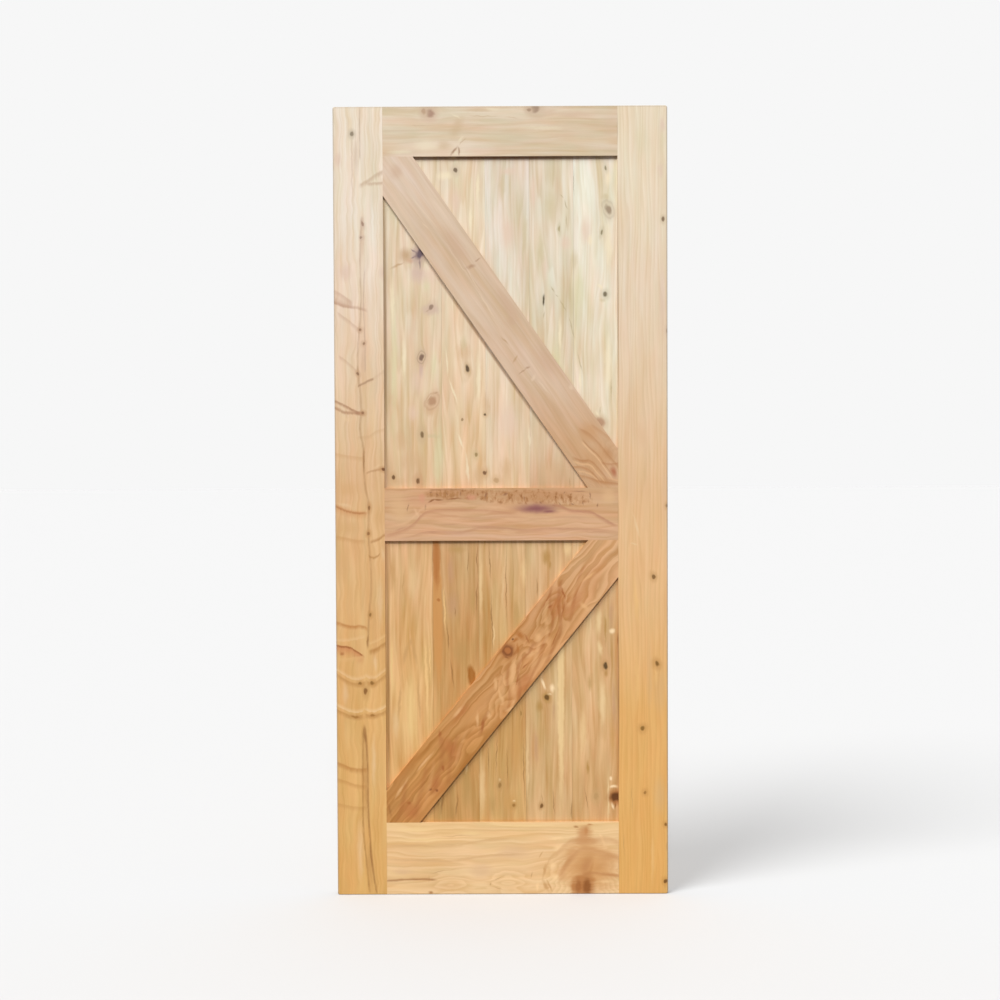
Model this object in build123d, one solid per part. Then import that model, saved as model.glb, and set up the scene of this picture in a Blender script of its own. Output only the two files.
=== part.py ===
from build123d import *
import os

# A wooden barn door leaf with a K brace, 36 in wide class and 84 in tall.
# Two stiles and three rails make the frame, with mortise and tenon joints.
# Two panels of tongue-and-groove boards float in grooves round the openings.
# A diagonal brace lies on each panel, on the front and on the back, flush with the frame.
# X runs to the right seen from the front, the front faces -Y, and Z points up.
# The origin is the middle of the top edge, where the door hangs. Lengths are millimetres.

# The leaf
door_width = 900.0
door_height = 2134.0
door_thickness = 35.0
edge_radius = 2.5  # of the rounded edges round the outside of the leaf
corner_radius = 6.0  # of the four corners of the leaf, seen from the front

# The frame members
stile_width = 134.0
top_rail_height = 134.0
middle_rail_height = 142.0
bottom_rail_height = 197.0
lower_opening_height = 768.0

# The joints of the frame
tenon_thickness = 12.0
tenon_length = 78.0
mortise_relief = 1.5  # room for glue behind the end of each tenon
haunch_height = 36.0  # from the end of the stile to the nearest mortise
groove_depth = 12.0

# The panels
panel_thickness = 19.0
panel_play = 0.2  # between each face of the panel and its groove
panel_movement = 2.0  # left at the bottom of the grooves for the wood to swell
upper_board_cover = 119.0
lower_board_cover = 126.0
board_gap = 0.3  # the open line between two boards
tongue_thickness = 5.0
tongue_length = 7.0
tongue_clearance = 0.2

# The braces
brace_width = 126.0
upper_brace_insets = (4.0, 5.0)  # from the opening's corners to its middle line, at head and foot
lower_brace_insets = (0.0, 9.0)

# Places that follow from the sizes above
top_z = 0.0
floor_z = top_z - door_height
half_width = door_width / 2
opening_width = door_width - 2 * stile_width
half_opening = opening_width / 2
upper_opening_top = top_z - top_rail_height
lower_opening_bottom = floor_z + bottom_rail_height
lower_opening_top = lower_opening_bottom + lower_opening_height
upper_opening_bottom = lower_opening_top + middle_rail_height
groove_width = panel_thickness + 2 * panel_play
brace_thickness = (door_thickness - panel_thickness) / 2


def block(x_range, y_range, z_range):
    """A box between two values on each axis."""
    lengths = [high - low for low, high in (x_range, y_range, z_range)]
    corner = Pos(x_range[0], y_range[0], z_range[0])
    return corner * Box(*lengths, align=(Align.MIN, Align.MIN, Align.MIN))


def centred(width):
    """The range of a width that is centred in the thickness of the door."""
    return (-width / 2, width / 2)


def ease_rail(bar, outer_side):
    """Rounds the front and back edges of the side of a rail that is on the outside of the leaf."""
    edges = bar.faces().sort_by(Axis.Z)[outer_side].edges().filter_by(Axis.X).group_by(Axis.Y)
    return fillet(edges[0] + edges[-1], edge_radius)


def ease_stile(post):
    """Rounds the outer corners of the left stile, then every front and back edge except the inner ones."""
    corners = post.edges().filter_by(Axis.Y).group_by(Axis.X)[0]
    post = fillet(corners, corner_radius)
    faces = post.faces().sort_by(Axis.Y)
    front, back = faces[0], faces[-1]
    rim = front.edges().sort_by(Axis.X)[:-1] + back.edges().sort_by(Axis.X)[:-1]
    return fillet(rim, edge_radius)


def tenon_heights():
    """Where the three tenons stand in each stile, as ranges of Z."""
    return {
        "top_rail": (upper_opening_top + groove_depth, top_z - haunch_height),
        "middle_rail": (lower_opening_top + groove_depth, upper_opening_bottom - groove_depth),
        "bottom_rail": (floor_z + haunch_height, lower_opening_bottom - groove_depth),
    }


def left_stile():
    """An upright with a groove along its inner edge, three mortises and rounded outer edges."""
    post = block((-half_width, -half_opening), centred(door_thickness), (floor_z, top_z))
    groove = block((-half_opening - groove_depth, -half_opening), centred(groove_width), (floor_z, top_z))
    post -= groove
    mortise_bottom = -half_opening - tenon_length - mortise_relief
    for heights in tenon_heights().values():
        post -= block((mortise_bottom, -half_opening), centred(tenon_thickness), heights)
    return ease_stile(post)


def rail_bar(bottom, top):
    """The part of a rail that shows, from shoulder to shoulder."""
    return block((-half_opening, half_opening), centred(door_thickness), (bottom, top))


def rail_groove(heights):
    """A groove for the panel along the whole edge of a rail."""
    return block((-half_opening, half_opening), centred(groove_width), heights)


def rail_ends(stub_heights, heights):
    """At each end of a rail, a stub that fills the stile's groove and a thinner tenon for its mortise."""
    stub_reach = half_opening + groove_depth
    tenon_reach = half_opening + tenon_length
    stubs = block((-stub_reach, stub_reach), centred(groove_width), stub_heights)
    tenons = block((-tenon_reach, tenon_reach), centred(tenon_thickness), heights)
    return stubs + tenons


def top_rail():
    """The rail over the upper panel. Its stubs run on past the tenons to the top edge."""
    bar = rail_bar(upper_opening_top, top_z)
    bar -= rail_groove((upper_opening_top, upper_opening_top + groove_depth))
    bar = ease_rail(bar, outer_side=-1)
    return bar + rail_ends((upper_opening_top + groove_depth, top_z), tenon_heights()["top_rail"])


def middle_rail():
    """The rail between the two panels, grooved above and below."""
    bar = rail_bar(lower_opening_top, upper_opening_bottom)
    bar -= rail_groove((lower_opening_top, lower_opening_top + groove_depth))
    bar -= rail_groove((upper_opening_bottom - groove_depth, upper_opening_bottom))
    heights = tenon_heights()["middle_rail"]
    return bar + rail_ends(heights, heights)


def bottom_rail():
    """The deep rail at the foot of the door. Its stubs run on past the tenons to the underside."""
    bar = rail_bar(floor_z, lower_opening_bottom)
    bar -= rail_groove((lower_opening_bottom - groove_depth, lower_opening_bottom))
    bar = ease_rail(bar, outer_side=0)
    return bar + rail_ends((floor_z, lower_opening_bottom - groove_depth), tenon_heights()["bottom_rail"])


def seams(cover):
    """The lines between the boards of a panel, from left to right.

    Boards of one width are laid from the right stile. The first board takes what is left over.
    """
    count = max(1, int(opening_width // cover))
    return [half_opening - cover * step for step in range(count - 1, 0, -1)]


def board(left, right, heights, first, last):
    """One upright board: a tongue on its left edge and a matching groove in its right edge."""
    solid = block((left, right), centred(panel_thickness), heights)
    if not first:
        solid += block((left - tongue_length, left), centred(tongue_thickness), heights)
    if not last:
        slot_width = tongue_thickness + 2 * tongue_clearance
        slot_bottom = right + board_gap - tongue_length - tongue_clearance
        solid -= block((slot_bottom, right), centred(slot_width), heights)
    return solid


def panel(name, cover, opening_bottom, opening_top):
    """The boards of one panel, each housed in the grooves round the opening."""
    housed = groove_depth - panel_movement
    heights = (opening_bottom - housed, opening_top + housed)
    lines = seams(cover)
    lefts = [-half_opening - housed] + [line + board_gap / 2 for line in lines]
    rights = [line - board_gap / 2 for line in lines] + [half_opening + housed]
    boards = {}
    for number, (left, right) in enumerate(zip(lefts, rights), start=1):
        boards[f"{name}_board_{number}"] = board(left, right, heights, number == 1, number == len(lefts))
    return boards


def brace(head, foot, opening_bottom, opening_top):
    """A flat bar from a corner of the opening to the opposite one, cut to fit both corners."""
    line = Line(head, foot)
    slope = Rot(0, 0, line.tangent_angle_at(0.5))
    bar = Pos(line @ 0.5) * slope * Rectangle(2 * line.length, brace_width)
    opening_middle = Pos(0, (opening_bottom + opening_top) / 2)
    opening = opening_middle * Rectangle(opening_width, opening_top - opening_bottom)
    outline = Plane.XZ * (bar & opening)
    return Pos(0, -panel_thickness / 2, 0) * extrude(outline, brace_thickness)


def brace_pair(name, head, foot, opening_bottom, opening_top):
    """The same brace on the front of the panel and behind it."""
    front = brace(head, foot, opening_bottom, opening_top)
    return {f"{name}_front": front, f"{name}_back": mirror(front, about=Plane.XZ)}


def door():
    """Every piece of the door by name."""
    post = left_stile()
    pieces = {
        "left_stile": post,
        "right_stile": mirror(post, about=Plane.YZ),
        "top_rail": top_rail(),
        "middle_rail": middle_rail(),
        "bottom_rail": bottom_rail(),
    }
    pieces |= panel("upper", upper_board_cover, upper_opening_bottom, upper_opening_top)
    pieces |= panel("lower", lower_board_cover, lower_opening_bottom, lower_opening_top)
    head_inset, foot_inset = upper_brace_insets
    upper_head = (-half_opening + head_inset, upper_opening_top)
    upper_foot = (half_opening - foot_inset, upper_opening_bottom)
    pieces |= brace_pair("upper_brace", upper_head, upper_foot, upper_opening_bottom, upper_opening_top)
    head_inset, foot_inset = lower_brace_insets
    lower_head = (half_opening - head_inset, lower_opening_top)
    lower_foot = (-half_opening + foot_inset, lower_opening_bottom)
    pieces |= brace_pair("lower_brace", lower_head, lower_foot, lower_opening_bottom, lower_opening_top)
    return pieces


os.makedirs("parts", exist_ok=True)
for name, piece in door().items():
    export_step(piece, f"parts/{name}.step")
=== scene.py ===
import math

import bpy
from mathutils import Matrix, Vector


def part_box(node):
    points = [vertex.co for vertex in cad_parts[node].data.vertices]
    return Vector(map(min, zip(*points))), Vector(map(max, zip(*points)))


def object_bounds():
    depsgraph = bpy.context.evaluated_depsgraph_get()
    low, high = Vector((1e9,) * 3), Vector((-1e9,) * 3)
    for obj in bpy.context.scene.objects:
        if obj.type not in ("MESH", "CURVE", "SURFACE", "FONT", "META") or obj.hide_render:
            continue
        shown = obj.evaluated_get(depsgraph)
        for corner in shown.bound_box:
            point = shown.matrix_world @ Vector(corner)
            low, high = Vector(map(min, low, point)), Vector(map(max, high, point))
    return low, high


# The look of a barn door leaf in bare knotty wood: a material for each piece, a floor, lights and a camera.
# Objects are in metres. The materials work in millimetres, in door coordinates: x from the door's centre
# line, and height above its foot.

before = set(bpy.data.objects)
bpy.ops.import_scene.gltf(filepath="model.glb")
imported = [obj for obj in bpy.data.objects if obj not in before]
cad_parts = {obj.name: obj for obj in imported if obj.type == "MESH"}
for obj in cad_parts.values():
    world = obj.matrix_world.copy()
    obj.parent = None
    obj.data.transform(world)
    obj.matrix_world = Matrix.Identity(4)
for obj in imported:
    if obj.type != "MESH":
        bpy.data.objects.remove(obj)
cad_low, cad_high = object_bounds()

MM = 0.001
FOOT = cad_low.z / MM
DOOR_HEIGHT = (cad_high.z - cad_low.z) / MM
HALF_WIDTH = cad_high.x / MM

# How far one unit of tone, warmth or hue changes red, green and blue
TONE = (0.110, 0.155, 0.250)
WARMTH = (0.010, -0.022, -0.085)
HUE = (0.028, -0.026, -0.020)

# What a piece's colour is multiplied by on its ends, for end grain, and on its sides, where the darkening
# is painted shade
END_GRAIN = (0.74, 0.66, 0.58, 1.0)
SIDE_SHADE = (0.90, 0.86, 0.82, 1.0)
BRACE_SIDE_SHADE = (0.62, 0.54, 0.46, 1.0)
LOWER_BRACE_SIDE_SHADE = (0.86, 0.78, 0.68, 1.0)
LEDGE_SHADE = (0.80, 0.80, 0.84, 1.0)  # painted shade on the sides of the bottom rail, which also dims the light they throw up

# Colours on screen, 0 to 255
# RIM_SHADE is painted shade along the outer edges, where the rounded edges turn from the light
RIM_SHADE = (150, 138, 122)
JOINT = (150, 110, 74)

# Where the parts of a knot begin and end, as distances from its middle. Its outline is at 1.
CORE_SOLID = 0.55
CORE_END = 1.3
HALO_SOLID = 0.9
HALO_END = 1.3  # times the knot's spread
RING_MIDDLE = 1.75
RING_HALF_WIDTH = 0.4

# How far the grain pushes the edges of bands and threads about, in mm
BAND_RAGGEDNESS = 1.4
THREAD_RAGGEDNESS = 1.2

# The wood's surface
ROUGHNESS = 0.6
SPECULAR = 0.3
RELIEF_STRENGTH = 0.3
RELIEF_DEPTH = 0.25  # in mm
RIM_WIDTH = 5.5  # in mm, of the painted shade along the outer edges


def paint(red, green, blue):
    """A colour as seen on screen, 0 to 255, as the linear colour that a shader takes."""
    linear = []
    for part in (red, green, blue):
        part /= 255
        linear.append(part / 12.92 if part <= 0.04045 else ((part + 0.055) / 1.055) ** 2.4)
    return (*linear, 1.0)


# Features of the wood

def spot(x, height, wide, tall, tilt=0.0):
    """An oval. tilt turns its tall axis clockwise from upright, in degrees."""
    return dict(x=x, height=height, wide=wide, tall=tall, tilt=tilt)


def line(start, end, width):
    """A long thin oval between two places of (x, height)."""
    (x0, h0), (x1, h1) = start, end
    length = math.hypot(x1 - x0, h1 - h0)
    return spot((x0 + x1) / 2, (h0 + h1) / 2, width, length, math.degrees(math.atan2(x1 - x0, h1 - h0)))


def stain(colour, strength, ovals, soft=0.9, grainy=0.5, mottled=None):
    """Ovals of one colour with soft edges, broken up by the grain.

    A mottled stain shows only in small ragged patches, fewer of them as the number goes up.
    """
    return dict(colour=colour, strength=strength, ovals=ovals, soft=soft, grainy=grainy, mottled=mottled)


def edge_line(colour, strength, ovals):
    """A mark along a straight edge, with no raggedness at all. It draws dark joints, and lines of painted
    shade at the recesses.
    """
    return dict(stain(colour, strength, ovals, soft=1.0, grainy=0.0), straight=True)


def knot(
    x, height, wide, tall, core, tilt=0.0, dark=0.88, halo=None, spread=2.6, glow=0.6, ring=0.0, bend=0.6,
):
    """A knot with a ragged dark core, a halo round it, an outer ring, and grain that bends past it.

    core and halo are colours. dark, glow, ring and bend say how strong each part is, from 0 to 1.
    """
    oval = spot(x, height, wide, tall, tilt)
    return dict(oval, core=core, dark=dark, halo=halo, spread=spread, glow=glow, ring=ring, bend=bend)


def swell(x, height, wide, tall, rings, tilt=0.0):
    """A place where the growth rings close into loops, with that many rings from its edge to its middle."""
    return dict(spot(x, height, wide, tall, tilt), rings=rings)


def band(places, above, below, colour, strength):
    """A mark that runs across a piece through places of (x, height), and fades that far above and below."""
    return dict(places=places, above=above, below=below, colour=colour, strength=strength)


def thread(places, width, colour, strength):
    """A thin line that wanders along a piece through places of (x, height)."""
    return dict(places=places, width=width, colour=colour, strength=strength)


# Shader graphs

class Graph:
    """Makes the nodes of one material. A value is a number, a vector or another node's output."""

    def __init__(self, name):
        self.material = bpy.data.materials.new(name)
        self.material.use_nodes = True
        self.tree = self.material.node_tree
        self.tree.nodes.clear()

    def node(self, kind, **settings):
        """A new shader node."""
        made = self.tree.nodes.new("ShaderNode" + kind)
        for key, value in settings.items():
            setattr(made, key, value)
        return made

    def feed(self, socket, value):
        """Links another node's output to a socket, or sets the socket to a number or vector."""
        if isinstance(value, bpy.types.NodeSocket):
            self.tree.links.new(value, socket)
        else:
            socket.default_value = value

    def math(self, operation, *values, clamp=False):
        made = self.node("Math", operation=operation, use_clamp=clamp)
        for socket, value in zip(made.inputs, values):
            self.feed(socket, value)
        return made.outputs[0]

    def blend_in(self, factor, value, rest):
        """factor times value, plus the rest."""
        return self.math("MULTIPLY_ADD", factor, value, rest)

    def multiply(self, a, b):
        return self.math("MULTIPLY", a, b)

    def subtract(self, a, b):
        return self.math("SUBTRACT", a, b)

    def vector(self, operation, *values):
        made = self.node("VectorMath", operation=operation)
        for socket, value in zip(made.inputs, values):
            self.feed(socket, value)
        return made.outputs["Value" if operation in ("DOT_PRODUCT", "LENGTH") else "Vector"]

    def point(self, x, y, z):
        made = self.node("CombineXYZ")
        for socket, value in zip(made.inputs, (x, y, z)):
            self.feed(socket, value)
        return made.outputs[0]

    def smooth(self, value, low, high):
        """0 where the value is at or past low, 1 at or past high, and an even blend between them."""
        made = self.node("MapRange", interpolation_type="SMOOTHSTEP")
        self.feed(made.inputs["Value"], value)
        made.inputs["From Min"].default_value = low
        made.inputs["From Max"].default_value = high
        return made.outputs[0]

    def noise(self, point, size, detail=2.0, roughness=0.5, shift=0.0):
        """Soft noise from about -1 to 1. size gives its features in mm across, through and along."""
        stretch = self.node("Mapping", vector_type="POINT")
        self.feed(stretch.inputs["Vector"], point)
        stretch.inputs["Scale"].default_value = [1 / length for length in size]
        stretch.inputs["Location"].default_value = (shift, 1.7 * shift, 2.3 * shift)
        made = self.node("TexNoise", noise_dimensions="3D")
        self.feed(made.inputs["Vector"], stretch.outputs[0])
        made.inputs["Scale"].default_value = 1.0
        made.inputs["Detail"].default_value = detail
        made.inputs["Roughness"].default_value = roughness
        return self.math("MULTIPLY_ADD", made.outputs[0], 4.0, -2.0)

    def mix(self, amount, a, b, way="MIX"):
        """Colour a, with b laid over it by the amount."""
        made = self.node("Mix", data_type="RGBA", blend_type=way)
        self.feed(made.inputs[0], amount)
        self.feed(made.inputs[6], a)
        self.feed(made.inputs[7], b)
        return made.outputs[2]

    def ramp(self, value, stops):
        """A colour that follows a value from 0 to 1 through stops of (position, colour)."""
        made = self.node("ValToRGB")
        self.feed(made.inputs[0], value)
        elements = made.color_ramp.elements
        while len(elements) < len(stops):
            elements.new(0.5)
        for element, (position, colour) in zip(elements, stops):
            element.position = position
            element.color = colour
        return made.outputs[0]

    def curve(self, value, points):
        """A number that follows a value from 0 to 1 through points of (position, number from 0 to 1)."""
        made = self.node("FloatCurve")
        self.feed(made.inputs["Value"], value)
        bend = made.mapping.curves[0]
        while len(bend.points) < len(points):
            bend.points.new(0.5, 0.5)
        for place, (position, number) in zip(bend.points, points):
            place.location = (position, number)
        made.mapping.update()
        return made.outputs[0]


class Wood(Graph):
    """The material of one piece of planed wood.

    lean is the angle of its grain from upright, in degrees, clockwise seen from the front, and centre
    is a point (x, height) on its middle line. Each method adds one thing to what came before.
    """

    def __init__(self, name, seed, lean, centre):
        super().__init__(name)
        self.seed = seed
        self.lean = lean
        turn = math.radians(lean)
        self.along_axis = (math.sin(turn), 0.0, math.cos(turn))
        self.across_axis = (math.cos(turn), 0.0, -math.sin(turn))
        self.centre = centre
        place = self.vector("MULTIPLY", self.node("TexCoord").outputs["Object"], (1 / MM, 1 / MM, 1 / MM))
        self.x = self.vector("DOT_PRODUCT", place, (1.0, 0.0, 0.0))
        self.height = self.subtract(self.vector("DOT_PRODUCT", place, (0.0, 0.0, 1.0)), FOOT)
        self.level = self.multiply(self.height, 1 / DOOR_HEIGHT)
        offset = self.vector("SUBTRACT", place, (centre[0], 0.0, FOOT + centre[1]))
        self.across = self.vector("DOT_PRODUCT", offset, self.across_axis)
        self.along = self.vector("DOT_PRODUCT", offset, self.along_axis)
        self.depth = self.vector("DOT_PRODUCT", offset, (0.0, 1.0, 0.0))
        self.plain = self.point(self.across, self.depth, self.along)
        self.face = self.ragged_face()
        self.straight_face = self.point(self.x, self.height, 1.0)

    def ragged_face(self):
        """Door coordinates, pushed about a little so that no outline is a perfect oval."""
        aside = self.noise(self.plain, (16.0, 30.0, 26.0), roughness=0.55, shift=self.seed + 7.7)
        upward = self.noise(self.plain, (16.0, 30.0, 26.0), roughness=0.55, shift=self.seed + 57.7)
        return self.point(self.blend_in(aside, 2.2, self.x), self.blend_in(upward, 2.2, self.height), 1.0)

    def oval(self, shape, face=None):
        """Distance from a shape's middle, as 1 on its outline."""
        face = face or self.face
        x, height, half_wide, half_tall = shape["x"], shape["height"], shape["wide"] / 2, shape["tall"] / 2
        if not shape["tilt"]:
            scale = (1 / half_wide, 1 / half_tall, 0.0)
            offset = (-x / half_wide, -height / half_tall, 0.0)
            return self.vector("LENGTH", self.vector("MULTIPLY_ADD", face, scale, offset))
        turn = math.radians(shape["tilt"])
        sine, cosine = math.sin(turn), math.cos(turn)
        sideways = (cosine / half_wide, -sine / half_wide, (height * sine - x * cosine) / half_wide)
        upward = (sine / half_tall, cosine / half_tall, -(x * sine + height * cosine) / half_tall)
        places = [self.vector("DOT_PRODUCT", face, axis) for axis in (sideways, upward)]
        return self.vector("LENGTH", self.point(*places, 0.0))

    def across_of(self, shape):
        """How far a shape's middle lies across the grain from the piece's middle line."""
        dx, dh = shape["x"] - self.centre[0], shape["height"] - self.centre[1]
        return dx * self.across_axis[0] + dh * self.across_axis[2]

    def bend_grain(self, wander, waves, wave_size, knots):
        """Grain that wanders, curls in waves and bends past the knots."""
        slow = self.noise(self.plain, (80.0, 90.0, 380.0), shift=self.seed)
        bent = self.blend_in(slow, wander, self.across)
        if waves:
            size = (wave_size * 2.0, 60.0, wave_size)
            curl = self.noise(self.plain, size, roughness=0.45, shift=self.seed + 5.1)
            bent = self.blend_in(curl, waves, bent)
        for each in knots:
            across = (each["wide"] + each["tall"]) / 2
            reach = spot(each["x"], each["height"], 2.6 * across, 6.0 * across, self.lean)
            pull = self.multiply(self.smooth(self.oval(reach), 1.0, 0.0), each["bend"])
            bent = self.subtract(bent, self.multiply(self.subtract(bent, self.across_of(each)), pull))
        self.grain = self.point(bent, self.depth, self.along)
        self.bent = bent

    def grow_rings(self, ring, pith, taper, swells):
        """Growth rings round the tree's middle. pith is its place across the piece and behind its face."""
        behind = self.math("ADD", self.depth, self.blend_in(self.along, taper, pith[1]))
        sideways = self.subtract(self.bent, pith[0])
        radius = self.math("SQRT", self.blend_in(sideways, sideways, self.multiply(behind, behind)))
        uneven = self.noise(self.grain, (26.0, 26.0, 420.0), detail=1.0, shift=self.seed + 1.3)
        turns = self.blend_in(radius, 1 / ring, self.multiply(uneven, 0.9))
        for each in swells:
            turns = self.blend_in(self.smooth(self.oval(each), 1.0, 0.0), each["rings"], turns)
        year = self.math("FRACT", turns)
        self.late = self.multiply(self.smooth(year, 0.05, 0.85), self.smooth(year, 1.0, 0.85))

    def colour_grain(self, tones, rings, streaks, blotches, fibres, warmth, hue):
        """Colour by height, with lighter and darker rings, streaks and fibres and patches of other hues."""
        seed = self.seed
        size = (9.0, 14.0, 190.0)
        self.streak = self.noise(self.grain, size, detail=3.0, roughness=0.55, shift=seed + 2.1)
        blotch = self.noise(self.grain, (34.0, 40.0, 240.0), detail=2.0, shift=seed + 3.7)
        self.fibre = self.noise(self.grain, (1.6, 2.0, 50.0), detail=3.0, roughness=0.6, shift=seed + 4.9)
        tone = self.multiply(self.subtract(0.42, self.late), rings)
        for part, amount in ((self.streak, streaks), (blotch, blotches), (self.fibre, fibres)):
            tone = self.blend_in(part, amount, tone)
        warm = self.multiply(self.noise(self.grain, (20.0, 24.0, 150.0), shift=seed + 8.3), warmth)
        tint = self.multiply(self.noise(self.grain, (26.0, 30.0, 130.0), shift=seed + 9.1), hue)
        stops = [(min(max(level / DOOR_HEIGHT, 0.0), 1.0), paint(*colour)) for level, colour in tones]
        shade = self.node("CombineColor")
        for channel in range(3):
            level = 1.0
            for amount, step in ((tone, TONE), (warm, WARMTH), (tint, HUE)):
                level = self.blend_in(amount, step[channel], level)
            self.feed(shade.inputs[channel], level)
        self.colour = self.mix(1.0, self.ramp(self.level, stops), shade.outputs[0], "MULTIPLY")
        self.ragged = self.noise(self.grain, (5.0, 9.0, 34.0), detail=3.0, roughness=0.6, shift=seed + 6.3)

    def speckle(self):
        """A fine noise that breaks mottled stains into patches."""
        return self.noise(self.plain, (17.0, 12.0, 10.0), detail=3.0, roughness=0.6, shift=self.seed + 3.3)

    def add_stains_and_shade(self, stains_and_shade):
        """Stains and lines of painted shade, each over the ones before it."""
        mottled = any(each["mottled"] is not None for each in stains_and_shade)
        speck = self.speckle() if mottled else None
        for each in stains_and_shade:
            face = self.straight_face if "straight" in each else self.face
            away = self.oval(each["ovals"][0], face)
            for shape in each["ovals"][1:]:
                away = self.math("MINIMUM", away, self.oval(shape, face))
            away = self.blend_in(self.ragged, 0.25 * each["grainy"], away)
            cover = self.smooth(away, 1.0, 1.0 - each["soft"])
            if each["mottled"] is not None:
                patches = self.smooth(speck, each["mottled"] - 0.35, each["mottled"] + 0.35)
                cover = self.multiply(cover, patches)
            broken = self.blend_in(self.streak, 0.5 * each["grainy"], 1.0)
            amount = self.math("MULTIPLY", self.multiply(cover, broken), each["strength"], clamp=True)
            self.colour = self.mix(amount, self.colour, paint(*each["colour"]))

    def add_bands(self, bands):
        """Wavy marks across the piece. A curve gives the height of each mark at every x."""
        height_here = self.blend_in(self.ragged, BAND_RAGGEDNESS, self.height)
        for each in bands:
            places = each["places"]
            start, end = places[0][0], places[-1][0]
            low = min(height for _, height in places) - 1.0
            high = max(height for _, height in places) + 1.0
            on_way = self.math("MULTIPLY_ADD", self.x, 1 / (end - start), -start / (end - start))
            points = [((x - start) / (end - start), (height - low) / (high - low)) for x, height in places]
            middle = self.blend_in(self.curve(on_way, points), high - low, low)
            gap = self.subtract(height_here, middle)
            upper, lower = self.smooth(gap, each["above"], 0.0), self.smooth(gap, -each["below"], 0.0)
            cover = self.multiply(upper, lower)
            inside = self.multiply(self.smooth(on_way, -0.01, 0.12), self.smooth(on_way, 1.01, 0.88))
            broken = self.math("MULTIPLY_ADD", self.ragged, 0.2, 0.9, clamp=True)
            amount = self.multiply(self.multiply(cover, inside), self.multiply(broken, each["strength"]))
            self.colour = self.mix(amount, self.colour, paint(*each["colour"]))

    def add_threads(self, threads):
        """Thin lines along an upright piece. A curve gives the x of each line at every height."""
        reach = 60.0
        x_here = self.blend_in(self.ragged, THREAD_RAGGEDNESS, self.x)
        for each in threads:
            places = each["places"]
            mean = sum(x for x, _ in places) / len(places)
            points = [(height / DOOR_HEIGHT, 0.5 + (x - mean) / (2 * reach)) for x, height in places]
            middle = self.blend_in(self.curve(self.level, points), 2 * reach, mean - reach)
            gap = self.math("ABSOLUTE", self.subtract(x_here, middle))
            low, high = points[0][0], points[-1][0]
            past_start = self.smooth(self.level, low - 0.002, low + 0.006)
            before_end = self.smooth(self.level, high + 0.002, high - 0.006)
            inside = self.multiply(past_start, before_end)
            cover = self.multiply(self.smooth(gap, each["width"], each["width"] * 0.1), inside)
            broken = self.math("MULTIPLY_ADD", self.ragged, 0.45, 0.8, clamp=True)
            amount = self.multiply(self.multiply(cover, broken), each["strength"])
            self.colour = self.mix(amount, self.colour, paint(*each["colour"]))

    def add_knots(self, knots):
        """Knots, with their halos and rings. Their cores lie a little deeper than the face."""
        self.hollow = 0.0
        for each in knots:
            away = self.blend_in(self.ragged, 0.16, self.oval(each))
            if each["halo"]:
                near = self.smooth(away, HALO_END * each["spread"], HALO_SOLID)
                near = self.multiply(near, each["glow"])
                self.colour = self.mix(near, self.colour, paint(*each["halo"]))
            core = self.smooth(away, CORE_END, CORE_SOLID)
            if each["ring"]:
                circle = self.math("ABSOLUTE", self.subtract(away, RING_MIDDLE))
                circle = self.smooth(circle, RING_HALF_WIDTH, 0.0)
                core = self.blend_in(circle, each["ring"], core)
            amount = self.math("MULTIPLY", core, each["dark"], clamp=True)
            self.colour = self.mix(amount, self.colour, paint(*each["core"]))
            self.hollow = self.math("MAXIMUM", self.hollow, core)

    def paint_rim_shade(self):
        """Painted shade on the outer edges, a little greyer than the faces, where the rounded edges turn
        from the light.
        """
        side = self.subtract(HALF_WIDTH, self.math("ABSOLUTE", self.x))
        edge = self.math("MINIMUM", side, self.subtract(DOOR_HEIGHT, self.height))
        amount = self.multiply(self.smooth(edge, RIM_WIDTH, 0.5), 0.5)
        self.colour = self.mix(amount, self.colour, paint(*RIM_SHADE))

    def finish(self, sides):
        """End grain, painted shade on the sides, roughness and a fine relief."""
        normal = self.node("TexCoord").outputs["Normal"]
        colour = self.colour
        for axis, darker in ((self.along_axis, END_GRAIN), (self.across_axis, sides)):
            facing = self.math("ABSOLUTE", self.vector("DOT_PRODUCT", normal, axis))
            colour = self.mix(self.smooth(facing, 0.75, 0.95), colour, darker, "MULTIPLY")
        shader = self.node("BsdfPrincipled")
        self.feed(shader.inputs["Base Color"], colour)
        shader.inputs["Specular IOR Level"].default_value = SPECULAR
        self.feed(shader.inputs["Roughness"], self.blend_in(self.streak, 0.05, ROUGHNESS))
        relief = self.blend_in(self.fibre, 0.35, self.subtract(self.multiply(self.late, 0.4), self.hollow))
        bump = self.node("Bump")
        bump.inputs["Strength"].default_value = RELIEF_STRENGTH
        bump.inputs["Distance"].default_value = RELIEF_DEPTH * MM
        self.feed(bump.inputs["Height"], relief)
        self.feed(shader.inputs["Normal"], bump.outputs[0])
        self.feed(self.node("OutputMaterial").inputs["Surface"], shader.outputs[0])
        return self.material


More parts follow.
